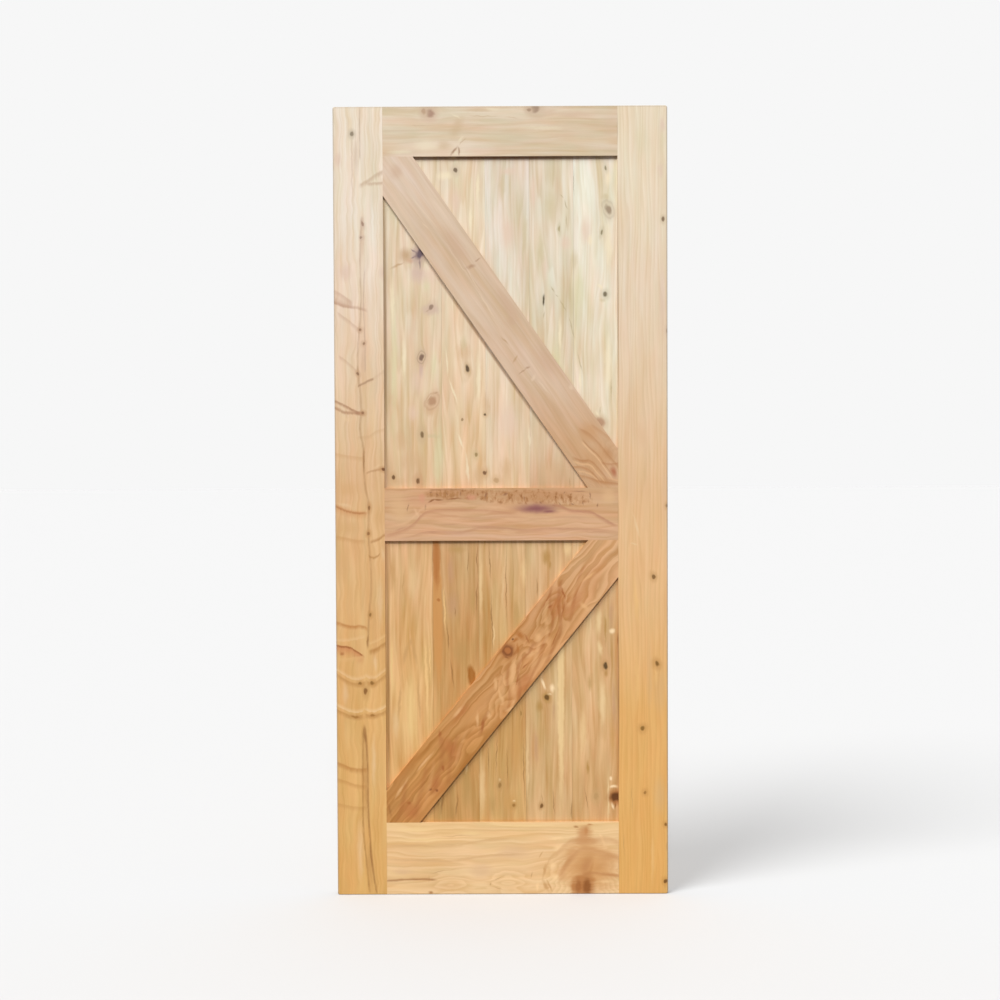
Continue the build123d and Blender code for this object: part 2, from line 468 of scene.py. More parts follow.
def wood(
    name, seed, tones, centre, lean=0.0, wander=8.0, waves=0.0, wave_size=60.0, ring=9.0, pith=(60.0, 30.0),
    taper=0.004, rings=0.4, streaks=0.5, blotches=0.5, fibres=0.22, warmth=0.8, hue=0.9, swells=(),
    knots=(), stains_and_shade=(), bands=(), threads=(), outer=False, sides=SIDE_SHADE,
):
    """The material of one piece. tones are (height, colour) from low to high.

    wander and waves bend the grain, and ring, pith, taper and rings shape its growth rings. streaks,
    blotches, fibres, warmth and hue say how much its colour varies. outer pieces get painted shade along
    their outer edges.
    """
    look = Wood(name, seed, lean, centre)
    look.bend_grain(wander, waves, wave_size, knots)
    look.grow_rings(ring, pith, taper, swells)
    look.colour_grain(tones, rings, streaks, blotches, fibres, warmth, hue)
    look.add_stains_and_shade(stains_and_shade)
    look.add_bands(bands)
    look.add_threads(threads)
    look.add_knots(knots)
    if outer:
        look.paint_rim_shade()
    return look.finish(sides)


def dress(node, material):
    """Gives a CAD node its material."""
    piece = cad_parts[node]
    piece.data.materials.clear()
    piece.data.materials.append(material)


# The stiles

LEFT_STILE_BANDS = [
    band([(-480, 1624), (-446, 1608), (-420, 1598), (-396, 1596)], 30, 6, (188, 146, 120), 0.55),
    band([
        (-470, 1620), (-435, 1604), (-410, 1597), (-385, 1594), (-356, 1584),
    ], 8, 6, (184, 142, 116), 0.5),
    band([(-470, 1650), (-432, 1631), (-398, 1606)], 6, 14, (200, 162, 138), 0.55),
    band([(-444, 1584), (-410, 1560), (-388, 1542), (-374, 1534)], 5, 14, (200, 164, 136), 0.5),
    band([(-440, 1468), (-405, 1440), (-382, 1416)], 5, 12, (200, 162, 130), 0.45),
    band([(-388, 1382), (-372, 1390), (-358, 1398), (-342, 1404)], 6, 5, (146, 100, 70), 0.8),
    band([(-384, 1386), (-350, 1402), (-304, 1436)], 5, 12, (212, 178, 144), 0.4),
    band([(-470, 1354), (-432, 1336), (-408, 1324), (-390, 1315), (-366, 1308)], 5, 9, (168, 120, 88), 0.8),
    band([
        (-470, 1334), (-438, 1320), (-424, 1313), (-400, 1311), (-366, 1309),
    ], 8, 7, (172, 124, 92), 0.75),
    band([(-392, 1246), (-360, 1248), (-336, 1262), (-300, 1270)], 5, 12, (206, 166, 122), 0.4),
    band([(-382, 1922), (-355, 1936), (-335, 1950), (-296, 1968)], 8, 14, (194, 162, 132), 0.6),
    band([(-360, 1927), (-335, 1929), (-296, 1932)], 5, 9, (194, 160, 130), 0.6),
    band([(-470, 1210), (-420, 1196), (-368, 1190)], 4, 14, (204, 158, 110), 0.45),
    band([(-368, 1148), (-340, 1157), (-312, 1161)], 4, 6, (180, 130, 84), 0.6),
    band([
        (-470, 1076), (-435, 1054), (-415, 1046), (-390, 1042), (-358, 1041),
    ], 8, 22, (206, 146, 92), 0.6),
    band([
        (-470, 1070), (-435, 1053), (-415, 1045), (-390, 1041), (-362, 1041),
    ], 5, 6, (172, 108, 58), 0.65),
    band([(-470, 982), (-420, 972), (-390, 966), (-364, 965)], 5, 14, (202, 150, 94), 0.55),
    band([(-358, 960), (-335, 968), (-320, 978), (-294, 990)], 8, 6, (174, 118, 62), 0.7),
    band([(-362, 928), (-350, 920), (-340, 922), (-328, 936)], 5, 6, (180, 126, 66), 0.7),
    band([(-470, 754), (-430, 738), (-405, 733), (-385, 734), (-360, 724)], 5, 12, (184, 120, 60), 0.75),
    band([(-470, 706), (-430, 694), (-400, 698), (-366, 706)], 10, 4, (236, 194, 142), 0.5),
    band([(-470, 690), (-437, 679), (-416, 677), (-400, 668), (-372, 650)], 4, 34, (202, 130, 82), 0.8),
    band([(-470, 690), (-437, 679), (-416, 677), (-400, 668), (-372, 650)], 4, 6, (154, 92, 42), 0.8),
    band([(-470, 650), (-436, 644), (-410, 646), (-372, 652)], 5, 12, (226, 178, 118), 0.7),
    band([(-364, 664), (-340, 672), (-325, 682), (-292, 698)], 7, 16, (176, 120, 58), 0.7),
    band([(-366, 684), (-340, 692), (-325, 702), (-292, 716)], 10, 4, (234, 192, 136), 0.5),
    band([(-470, 622), (-430, 590), (-405, 578), (-386, 576), (-366, 588)], 5, 14, (188, 134, 74), 0.65),
    band([(-470, 634), (-430, 602), (-405, 590), (-382, 590), (-364, 604)], 12, 3, (238, 198, 148), 0.6),
    band([(-372, 588), (-352, 577), (-332, 588), (-292, 624)], 5, 14, (188, 134, 74), 0.65),
    band([(-374, 602), (-352, 591), (-332, 601), (-292, 636)], 12, 3, (238, 198, 148), 0.6),
    band([(-470, 518), (-430, 497), (-410, 489), (-396, 487), (-374, 498)], 4, 14, (186, 132, 70), 0.65),
    band([(-470, 530), (-430, 508), (-410, 500), (-394, 498), (-372, 512)], 12, 2, (240, 202, 152), 0.65),
    band([(-376, 498), (-352, 489), (-334, 494), (-292, 520)], 4, 14, (186, 132, 70), 0.65),
    band([(-376, 510), (-352, 500), (-334, 505), (-292, 531)], 12, 2, (240, 202, 152), 0.65),
    band([(-470, 372), (-430, 354), (-405, 345), (-385, 343), (-362, 346)], 5, 16, (184, 124, 62), 0.7),
    band([(-470, 326), (-420, 308), (-395, 300), (-366, 297)], 4, 14, (194, 138, 76), 0.55),
    band([(-470, 256), (-420, 243), (-395, 239), (-366, 241)], 4, 14, (196, 142, 80), 0.5),
]
LEFT_STILE_PALE_LINES = [
    line((-450, 1070), (-396, 1056), 14), line((-345, 670), (-342, 600), 16),
    line((-388, 240), (-388, 0), 29), line((-345, 1400), (-345, 1200), 22),
    line((-326, 960), (-318, 900), 16), line((-330, 900), (-330, 700), 22),
    line((-350, 470), (-350, 260), 18), line((-428, 600), (-424, 500), 22),
    line((-436, 1300), (-400, 1290), 18), line((-320, 1170), (-352, 1162), 11),
]
LEFT_STILE_TONES = [
    (100, (223, 172, 103)), (600, (223, 175, 112)), (950, (223, 178, 125)), (1120, (221, 179, 132)),
    (1300, (228, 194, 156)), (1500, (231, 203, 173)), (1700, (236, 216, 193)), (1950, (237, 221, 199)),
]
LEFT_STILE_STAINS = [
    stain((208, 184, 160), 0.5, [spot(-388, 2000, 22, 150), line((-398, 2134), (-398, 1840), 7)]),
    stain((222, 190, 172), 0.5, [
        spot(-436, 1990, 34, 60), spot(-420, 1690, 60, 70), spot(-318, 1690, 30, 60),
    ]),
    stain((212, 166, 112), 0.5, [
        spot(-414, 1106, 70, 60), spot(-412, 1000, 78, 50), spot(-330, 1030, 40, 80),
        spot(-430, 900, 50, 130), spot(-322, 940, 20, 80),
    ]),
    stain((236, 202, 158), 0.45, LEFT_STILE_PALE_LINES, soft=1.0, grainy=0.4),
    stain((160, 100, 50), 0.8, [spot(-434, 660, 18, 16)], grainy=0.2),
    stain((150, 102, 50), 0.8, [
        line((-376, 474), (-373, 400), 13), line((-363, 716), (-365, 668), 9),
        line((-371, 1228), (-371, 1134), 8),
    ], soft=1.0, grainy=0.3),
    stain((190, 140, 82), 0.6, [
        line((-374, 480), (-368, 130), 20), line((-370, 180), (-354, -20), 22),
        line((-376, 345), (-372, 285), 14),
    ], grainy=0.2),
    stain((212, 176, 146), 0.5, [spot(-372, 1450, 16, 120), spot(-372, 1780, 20, 200)]),
    edge_line(JOINT, 0.5, [
        line((-315, 965), (-315, 1107), 2.5), line((-315, 0), (-315, 197), 2.5),
        line((-315, 2000), (-315, 2140), 2.5),
    ]),
]
LEFT_STILE_THREADS = [
    thread([
        (-343, 0), (-354, 70), (-361, 150), (-366, 250), (-367, 370), (-374, 462),
    ], 5.0, (150, 100, 50), 0.75),
    thread([(-362, 0), (-371, 90), (-379, 190), (-380, 300), (-378, 462)], 4.5, (160, 110, 56), 0.6),
    thread([
        (-364, 672), (-360, 760), (-354, 850), (-357, 930), (-360, 985), (-359, 1055), (-366, 1100),
        (-370, 1140), (-373, 1220), (-381, 1270), (-378, 1312), (-384, 1400), (-387, 1440),
    ], 5.0, (160, 114, 68), 0.45),
    thread([
        (-387, 1418), (-386, 1480), (-381, 1535), (-377, 1600), (-378, 1740), (-376, 1790), (-373, 1840),
    ], 4.0, (176, 140, 112), 0.45),
    thread([(-366, 1420), (-367, 1520), (-370, 1600), (-366, 1700)], 3.5, (196, 162, 138), 0.6),
    thread([(-377, 1990), (-377, 2134)], 3.5, (196, 172, 148), 0.7),
]
LEFT_STILE_KNOTS = [
    knot(-399, 2061, 10, 12, (140, 126, 104), halo=(198, 182, 160), dark=0.9),
    knot(-371, 1821, 6, 15, (160, 128, 108), halo=(208, 182, 162), tilt=-15),
    knot(-375, 1783, 6, 8, (158, 130, 110), halo=(208, 182, 162)),
    knot(-379, 1535, 9, 8, (130, 94, 68), halo=(204, 166, 134), dark=0.7),
    knot(-370, 1498, 7, 10, (134, 98, 70), halo=(204, 166, 134), tilt=30, dark=0.7),
    knot(-387, 1417, 7, 10, (118, 84, 54), halo=(200, 160, 124), tilt=-20, dark=0.7),
    knot(-374, 1310, 9, 8, (134, 94, 60), halo=(200, 156, 116), dark=0.7),
    knot(-318, 1159, 12, 8, (112, 68, 34), halo=(190, 140, 92)),
    knot(-358, 1055, 7, 14, (116, 76, 38), halo=(192, 140, 86), dark=0.7),
    knot(-360, 985, 7, 11, (126, 82, 40), halo=(196, 144, 88), dark=0.7),
    knot(-357, 765, 7, 11, (122, 84, 34), halo=(192, 142, 82), dark=0.7),
    knot(-386, 578, 11, 10, (146, 104, 48), halo=(196, 144, 82)),
    knot(-352, 578, 11, 11, (142, 100, 44), halo=(196, 144, 82)),
    knot(-371, 556, 9, 20, (134, 88, 40), halo=(192, 142, 82)),
    knot(-399, 487, 22, 7, (164, 114, 52), halo=(196, 144, 84), tilt=8, dark=0.8),
    knot(-352, 490, 16, 7, (160, 110, 50), halo=(196, 144, 84), tilt=-8, dark=0.8),
]


def left_stile():
    """A flat-sawn board cut through the tree's middle, with branches that leave it on both sides."""
    return wood(
        "left_stile_wood", seed=11.0, tones=LEFT_STILE_TONES, centre=(-383, 1067), pith=(8.0, 10.0),
        ring=17.0, rings=0.55, wander=8.0, waves=5.0, streaks=0.4, blotches=0.6, outer=True,
        stains_and_shade=LEFT_STILE_STAINS, bands=LEFT_STILE_BANDS, threads=LEFT_STILE_THREADS,
        knots=LEFT_STILE_KNOTS,
    )


RIGHT_STILE_TONES = [
    (100, (227, 172, 98)), (500, (227, 174, 105)), (700, (228, 180, 122)), (900, (230, 186, 135)),
    (1100, (228, 187, 142)), (1300, (228, 196, 159)), (1500, (230, 205, 175)), (1700, (232, 211, 184)),
    (1950, (234, 216, 188)),
]
RIGHT_STILE_STAINS_AND_SHADE = [
    stain((216, 176, 124), 0.45, [
        spot(426, 560, 50, 200), spot(428, 270, 50, 140), spot(400, 600, 24, 260),
    ]),
    stain((238, 192, 126), 0.5, [
        line((408, 200), (408, 0), 14), line((356, 900), (372, 700), 20), line((366, 700), (366, 480), 16),
        spot(416, 600, 16, 80),
    ]),
    stain((236, 206, 162), 0.5, [line((352, 1050), (380, 950), 10), line((345, 960), (372, 950), 8)]),
    stain((222, 184, 144), 0.5, [
        spot(350, 1130, 56, 180), spot(376, 1250, 60, 120), spot(440, 1100, 20, 160),
    ]),
    stain((224, 196, 178), 0.5, [
        spot(436, 1620, 26, 260), spot(436, 2080, 26, 60), spot(432, 1960, 24, 60),
    ]),
    stain((220, 208, 172), 0.4, [spot(436, 2040, 24, 90), spot(380, 2040, 60, 120)]),
    stain((196, 150, 92), 0.6, [
        line((446, 150), (444, 110), 6), line((440, 30), (441, 8), 6), line((352, 320), (352, 200), 3),
        line((330, 180), (331, 90), 3),
    ]),
    # Painted shade: a dark line down the stile's inner edge, beside the recessed panel
    edge_line((146, 102, 60), 0.75, [line((316, 1205), (316, 2000), 8), line((316, 190), (316, 872), 7)]),
    edge_line(JOINT, 0.6, [
        line((316, 965), (316, 1107), 3.5), line((316, 0), (316, 197), 2.5),
        line((316, 1107), (316, 1212), 3), line((316, 868), (316, 965), 3),
        line((316, 2000), (316, 2140), 2.5),
    ]),
]
RIGHT_STILE_KNOTS = [
    knot(439, 1829, 9, 12, (124, 100, 74), halo=(206, 186, 154), spread=2.4),
    knot(448, 1530, 6, 14, (180, 150, 126), halo=(212, 186, 160)),
    knot(448, 1057, 8, 11, (150, 112, 70), halo=(206, 164, 116)),
    knot(411, 866, 10, 13, (122, 88, 44), halo=(200, 154, 100), tilt=-25),
    knot(420, 628, 12, 16, (118, 82, 30), halo=(196, 144, 82), tilt=-20),
    knot(382, 453, 14, 12, (130, 94, 36), halo=(200, 148, 84), tilt=-50),
    knot(387, 278, 8, 11, (158, 112, 52), halo=(204, 150, 84)),
    knot(444, 190, 9, 10, (134, 88, 28), halo=(204, 146, 76)),
    knot(442, 34, 9, 12, (104, 64, 14), halo=(204, 146, 76)),
]


def right_stile():
    """A quarter-sawn board: straight lines and a few small knots."""
    return wood(
        "right_stile_wood", seed=23.0, tones=RIGHT_STILE_TONES, centre=(383, 1067), pith=(-150.0, 30.0),
        taper=0.002, ring=11.0, rings=0.5, wander=5.0, streaks=0.35, blotches=0.3, warmth=0.6, hue=0.7,
        outer=True, stains_and_shade=RIGHT_STILE_STAINS_AND_SHADE, knots=RIGHT_STILE_KNOTS,
    )


# The rails

def rail_joints(low, high):
    """Hairlines where a rail's shoulders meet the stiles."""
    return edge_line(JOINT, 0.5, [line((-316, low), (-316, high), 2.5), line((316, low), (316, high), 3)])


TOP_RAIL_TONES = [(2000, (222, 201, 173)), (2134, (222, 200, 171))]
TOP_RAIL_STAINS = [
    stain((228, 200, 176), 0.6, [
        spot(-188, 2098, 76, 40), spot(-150, 2010, 60, 40), spot(-60, 2015, 120, 24),
    ]),
    stain((208, 180, 144), 0.6, [
        spot(-116, 2076, 44, 96, 24), spot(-150, 2030, 60, 40), spot(-60, 2122, 120, 14),
    ]),
    stain((212, 198, 166), 0.5, [
        spot(10, 2046, 200, 34), spot(-235, 2066, 60, 26), spot(190, 2024, 80, 30),
    ]),
    stain((238, 224, 194), 0.6, [
        spot(-200, 2030, 90, 50), spot(-270, 2012, 90, 16), spot(-20, 2126, 60, 12),
        line((-140, 2118), (-96, 2098), 8), spot(120, 2075, 160, 14),
    ]),
    stain((214, 184, 156), 0.5, [
        spot(300, 2080, 70, 110), spot(200, 2112, 120, 26), spot(130, 2118, 60, 30),
    ]),
    stain((200, 172, 138), 0.6, [
        line((-110, 2108), (20, 2106), 5), line((10, 2107), (60, 2100), 4),
        line((-260, 2083), (-160, 2082), 4),
    ], soft=1.0),
    stain((160, 120, 90), 0.85, [
        line((-138, 1996), (-111, 2032), 9), line((-114, 2032), (-108, 1996), 8),
    ], soft=1.0, grainy=0.2),
    stain((196, 166, 130), 0.7, [line((-112, 2028), (-88, 2052), 4)], grainy=0.2),
    stain((238, 224, 194), 0.6, [line((-112, 2034), (-98, 2056), 10), spot(-120, 2008, 12, 16)]),
    rail_joints(1996, 2140),
]
TOP_RAIL_KNOTS = [
    knot(-187, 2116, 24, 24, (172, 136, 116), halo=(206, 176, 150), tilt=30, spread=2.0),
    knot(-204, 2120, 12, 18, (190, 158, 130), halo=(210, 184, 156)),
    knot(94, 2127, 26, 22, (164, 136, 114), halo=(204, 178, 150), tilt=60),
    knot(79, 2123, 12, 10, (170, 140, 116), halo=(204, 178, 150)),
]


def top_rail():
    """A pale rail with small knots at its upper edge and a forked mark at its lower one."""
    return wood(
        "top_rail_wood", seed=31.0, tones=TOP_RAIL_TONES, lean=90.0, centre=(0, 2067), pith=(10.0, 46.0),
        taper=0.01, ring=19.0, rings=0.45, wander=12.0, streaks=0.5, blotches=0.9, hue=1.3, outer=True,
        stains_and_shade=TOP_RAIL_STAINS, knots=TOP_RAIL_KNOTS,
    )


MIDDLE_RAIL_RAGGED_MARKS = [
    line((-195, 1094), (-182, 1098), 6), line((-176, 1096), (-170, 1084), 5),
    line((-150, 1100), (-146, 1084), 5), line((-112, 1100), (-108, 1082), 6),
    line((-42, 1104), (-42, 1072), 9), line((0, 1086), (22, 1094), 9), line((60, 1088), (64, 1070), 5),
    line((104, 1072), (112, 1062), 6), line((134, 1062), (148, 1056), 6), line((154, 1070), (160, 1056), 5),
    line((186, 1066), (200, 1058), 6), line((168, 1090), (176, 1097), 5), line((220, 1072), (224, 1056), 5),
    line((238, 1100), (242, 1072), 7), line((262, 1068), (258, 1052), 6),
    line((-206, 1068), (-207, 1044), 8), line((-250, 1070), (-256, 1040), 5),
    line((186, 1096), (238, 1096), 6),
]
MIDDLE_RAIL_TONES = [(965, (213, 166, 126)), (1040, (212, 166, 124)), (1107, (206, 160, 118))]
MIDDLE_RAIL_STAINS = [
    stain((222, 180, 134), 0.75, [spot(-276, 1050, 84, 130, -20), spot(290, 1084, 60, 60)]),
    stain((188, 138, 96), 0.5, [spot(-110, 1090, 240, 38), spot(90, 1086, 320, 46)], soft=0.6, grainy=0.4),
    stain((190, 138, 92), 0.7, [
        spot(-100, 1090, 260, 36), spot(70, 1082, 340, 48), spot(180, 1074, 150, 44),
    ], soft=0.4, mottled=-0.1),
    stain((156, 104, 60), 0.85, [
        spot(-100, 1092, 240, 34), spot(70, 1082, 340, 46), spot(180, 1076, 150, 40),
    ], soft=0.4, mottled=0.4),
    stain((174, 122, 72), 0.7, [
        spot(-150, 1090, 130, 24), spot(-40, 1084, 30, 40), spot(15, 1090, 50, 20),
    ], mottled=-0.2),
    stain((216, 152, 120), 0.7, [spot(-216, 1082, 26, 36), spot(-80, 1082, 40, 24)]),
    stain((146, 92, 50), 0.85, [
        line((-204, 1068), (-176, 1079), 8), line((-190, 1076), (-152, 1076), 8),
        line((-156, 1078), (-96, 1078), 6),
    ], grainy=0.4),
    stain((150, 104, 74), 0.75, MIDDLE_RAIL_RAGGED_MARKS, soft=1.0, grainy=0.8),
    stain((176, 126, 108), 0.8, [spot(92, 1052, 190, 44)], soft=1.0, grainy=0.1),
    stain((142, 88, 86), 0.95, [spot(96, 1050, 140, 32), spot(128, 1043, 70, 18)], soft=1.0, grainy=0.1),
    stain((198, 146, 112), 0.65, [
        line((150, 1058), (186, 1046), 7), line((180, 1046), (248, 1040), 7),
        line((240, 1042), (300, 1012), 7), line((-300, 990), (-240, 1006), 8),
        line((-246, 1002), (-204, 1046), 10), line((-200, 1048), (-96, 1052), 5),
    ]),
    stain((230, 188, 146), 0.6, [
        spot(-50, 1043, 90, 16), spot(100, 1022, 320, 14), spot(-130, 1026, 120, 12),
        spot(-230, 1040, 40, 12, 60), spot(20, 990, 70, 14), spot(-120, 1066, 110, 12),
    ]),
    stain((196, 146, 112), 0.6, [
        line((-176, 1006), (-100, 1012), 7), line((-110, 1004), (0, 1002), 8),
        line((-10, 1000), (70, 994), 7), line((120, 996), (220, 994), 6), line((200, 990), (312, 984), 6),
        line((-210, 990), (-160, 986), 10),
    ]),
    stain((216, 174, 146), 0.6, [spot(-110, 984, 130, 26), spot(150, 978, 120, 12)]),
    rail_joints(960, 1110),
]
MIDDLE_RAIL_BANDS = [
    band([
        (-340, 975), (-280, 990), (-240, 1010), (-215, 1036), (-196, 1046), (-150, 1050), (-60, 1048),
        (60, 1036),
    ], 3, 14, (196, 142, 106), 0.7),
    band([
        (-330, 1000), (-270, 1010), (-232, 1034), (-206, 1054), (-150, 1060), (-60, 1058), (30, 1050),
    ], 8, 6, (228, 184, 142), 0.5),
    band([
        (-300, 965), (-240, 978), (-180, 990), (-120, 988), (-40, 1002), (60, 994), (140, 998), (340, 980),
    ], 4, 12, (192, 142, 108), 0.6),
    band([
        (-200, 1008), (-140, 1016), (-60, 1010), (20, 1018), (110, 1010), (200, 1016), (330, 1000),
    ], 10, 6, (226, 178, 142), 0.5),
    band([
        (-210, 1022), (-150, 1032), (-80, 1026), (10, 1030), (90, 1024), (180, 1028), (260, 1016),
    ], 4, 8, (200, 150, 114), 0.5),
    band([
        (130, 1064), (165, 1056), (190, 1046), (240, 1042), (266, 1028), (320, 1000),
    ], 5, 12, (182, 126, 96), 0.65),
    band([
        (-330, 962), (-200, 974), (-60, 980), (60, 976), (200, 982), (340, 966),
    ], 5, 10, (222, 178, 146), 0.5),
    band([(-200, 1100), (-150, 1104), (-90, 1100)], 3, 5, (160, 110, 66), 0.6),
]


def middle_rail():
    """A rail with a ragged strip of rough bark-side wood along its top."""
    return wood(
        "middle_rail_wood", seed=47.0, tones=MIDDLE_RAIL_TONES, lean=90.0, centre=(0, 1036),
        pith=(-30.0, 40.0), taper=0.02, ring=19.0, rings=0.9, wander=14.0, waves=4.0, wave_size=80.0,
        streaks=0.6, blotches=0.6, hue=1.3, stains_and_shade=MIDDLE_RAIL_STAINS, bands=MIDDLE_RAIL_BANDS,
    )


BOTTOM_RAIL_TONES = [(0, (236, 196, 144)), (110, (234, 192, 140)), (197, (238, 198, 142))]
BOTTOM_RAIL_SWELLS = [
    swell(225, 32, 250, 250, 6.0),
    swell(15, 35, 150, 90, 2.0),
    swell(-140, 30, 150, 80, 1.6),
]
BOTTOM_RAIL_STAINS = [
    stain((246, 210, 150), 0.6, [
        spot(-220, 150, 200, 14), spot(-90, 168, 120, 10), spot(60, 188, 260, 10), spot(-240, 178, 140, 18),
    ]),
    stain((214, 170, 118), 0.6, [
        line((-300, 132), (-180, 134), 5), line((-190, 134), (-90, 140), 6), line((-90, 142), (10, 158), 4),
        line((-200, 158), (-60, 162), 4), line((-250, 97), (-150, 93), 5), line((-150, 94), (-60, 102), 5),
        line((-70, 108), (60, 110), 4), line((-200, 62), (-90, 72), 4),
    ]),
    stain((222, 182, 140), 0.6, [spot(-60, 66, 90, 60), spot(30, 116, 130, 50), spot(-270, 62, 90, 20)]),
    stain((190, 142, 92), 0.6, [
        line((-204, 30), (-200, 56), 4), line((-200, 56), (-150, 68), 4), line((-34, 22), (-34, 34), 5),
        line((-34, 34), (10, 52), 4), line((-36, 24), (6, 10), 4), line((75, 40), (80, 64), 5),
    ]),
    stain((218, 164, 110), 0.75, [spot(232, 70, 190, 190)], soft=0.7, grainy=0.8),
    stain((200, 146, 94), 0.8, [
        spot(222, 90, 44, 120, 44), spot(226, 146, 110, 30), spot(222, 172, 54, 50),
        spot(176, 84, 24, 70, 30), spot(284, 100, 70, 24), spot(290, 52, 80, 14), spot(262, 76, 30, 60, 60),
    ], grainy=0.8),
    stain((204, 154, 98), 0.8, [
        line((128, 0), (106, 44), 16), line((106, 40), (120, 92), 12), line((138, 0), (116, 46), 8),
        line((96, 96), (112, 120), 6),
    ]),
    stain((252, 212, 158), 0.75, [
        spot(136, 78, 30, 26), spot(156, 126, 50, 26), spot(150, 152, 60, 10), spot(270, 150, 50, 14, 70),
        spot(280, 34, 60, 12), spot(94, 20, 14, 34), spot(142, 46, 30, 30),
    ]),
    stain((186, 122, 66), 0.85, [
        spot(192, 22, 22, 56), spot(214, 46, 44, 14), spot(246, 38, 30, 20), spot(226, 172, 18, 36),
        spot(238, 190, 26, 9), spot(240, 70, 12, 50, 20),
    ]),
    stain((170, 112, 62), 0.8, [spot(-197, 6, 18, 9), spot(200, 184, 18, 8)]),
    stain((212, 156, 96), 0.72, [spot(238, 72, 220, 200)], soft=1.0, grainy=0.2),
    stain((180, 118, 64), 0.8, [spot(216, 20, 74, 62)], grainy=0.2),
    stain((204, 146, 92), 0.6, [line((216, 110), (230, 200), 62)], soft=1.0, grainy=0.2),
    stain((210, 154, 102), 0.65, [
        line((152, 20), (172, 92), 36), line((168, 84), (208, 138), 44), line((204, 126), (228, 192), 42),
    ], soft=1.0, grainy=0.2),
    stain((192, 132, 82), 0.7, [line((208, 44), (246, 112), 42)], soft=1.0, grainy=0.2),
    stain((216, 164, 110), 0.5, [spot(284, 90, 90, 70)], soft=1.0, grainy=0.2),
    rail_joints(0, 200),
]
BOTTOM_RAIL_BANDS = [
    band([(102, 20), (118, 74), (130, 100), (160, 120), (200, 120)], 8, 12, (214, 164, 110), 0.5),
    band([
        (140, 90), (172, 136), (205, 150), (240, 146), (276, 152), (330, 120),
    ], 10, 18, (206, 152, 100), 0.5),
    band([(152, 50), (190, 104), (225, 126), (262, 118), (330, 96)], 9, 20, (200, 144, 92), 0.5),
    band([(210, 40), (240, 58), (270, 56), (330, 46)], 6, 9, (194, 136, 84), 0.7),
    band([(-330, 36), (-280, 40), (-230, 42), (-176, 40)], 5, 5, (168, 116, 68), 0.9),
    band([(-330, 132), (-240, 136), (-160, 132), (-80, 144), (30, 156)], 3, 8, (216, 172, 120), 0.6),
    band([(-330, 98), (-230, 94), (-150, 92), (-60, 104), (70, 112)], 3, 7, (216, 172, 122), 0.6),
]
BOTTOM_RAIL_KNOTS = [
    knot(229, 20, 24, 44, (138, 80, 32), halo=(176, 112, 58), spread=1.9, glow=0.7, bend=0.0, dark=0.8),
    knot(206, 22, 18, 36, (156, 94, 44), halo=(184, 122, 68), spread=1.8, glow=0.7, bend=0.0, dark=0.6),
]


def bottom_rail():
    """A light rail with one big knot whose rings swirl out over its right end."""
    return wood(
        "bottom_rail_wood", seed=53.0, tones=BOTTOM_RAIL_TONES, lean=90.0, centre=(0, 98),
        pith=(20.0, 50.0), taper=0.03, ring=22.0, rings=0.8, wander=12.0, waves=4.0, wave_size=90.0,
        streaks=0.5, blotches=0.5, hue=0.7, sides=LEDGE_SHADE, swells=BOTTOM_RAIL_SWELLS,
        stains_and_shade=BOTTOM_RAIL_STAINS, bands=BOTTOM_RAIL_BANDS, knots=BOTTOM_RAIL_KNOTS,
    )


dress("left_stile", left_stile())
dress("right_stile", right_stile())
dress("top_rail", top_rail())
dress("middle_rail", middle_rail())
dress("bottom_rail", bottom_rail())


# The braces

def lean_of(node):
    """The angle of a brace from upright, clockwise, from the size of the opening that it crosses."""
    low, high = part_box(node)
    return math.degrees(math.atan2(high.x - low.x, high.z - low.z))


UPPER_BRACE_TONES = [
    (1107, (207, 164, 124)), (1230, (209, 168, 129)), (1380, (214, 182, 152)), (1600, (216, 187, 158)),
    (1800, (216, 189, 161)), (2000, (220, 194, 168)),
]
UPPER_BRACE_SWELLS = [swell(316, 1140, 260, 220, 6.0, -30), swell(240, 1140, 120, 70, 2.5, -40)]
UPPER_BRACE_STAINS = [
    stain((230, 204, 176), 0.6, [
        line((-250, 1905), (-150, 1790), 6), line((-176, 1808), (-60, 1640), 7),
        line((-215, 1830), (-190, 1800), 5), line((-110, 1730), (-40, 1610), 5),
        line((-75, 1660), (0, 1540), 6), spot(88, 1404, 30, 14, -60), line((90, 1410), (140, 1350), 8),
        spot(190, 1378, 16, 24, -30),
    ]),
    stain((204, 168, 140), 0.5, [
        spot(-120, 1760, 60, 160, -35), spot(20, 1600, 50, 160, -35), spot(120, 1450, 60, 160, -35),
        spot(-280, 1960, 50, 60), spot(30, 1560, 40, 50),
    ]),
    stain((176, 136, 108), 0.7, [
        line((-72, 1714), (-50, 1730), 8), spot(-80, 1704, 40, 16, -20), line((44, 1410), (74, 1434), 6),
        spot(72, 1432, 20, 9, -20),
    ], soft=1.0),
    stain((186, 146, 104), 0.7, [
        line((-6, 1522), (26, 1490), 6), line((30, 1440), (48, 1470), 8),
    ], soft=1.0),
    stain((202, 152, 104), 0.7, [
        spot(236, 1256, 90, 90, -30), spot(266, 1184, 120, 130, -30),
    ], soft=1.0, grainy=0.2),
    stain((188, 134, 86), 0.6, [
        spot(284, 1124, 110, 30), spot(290, 1200, 40, 60, -30),
    ], soft=1.0, grainy=0.3),
    stain((176, 106, 70), 0.8, [spot(304, 1150, 24, 50, -10)], grainy=0.3),
]
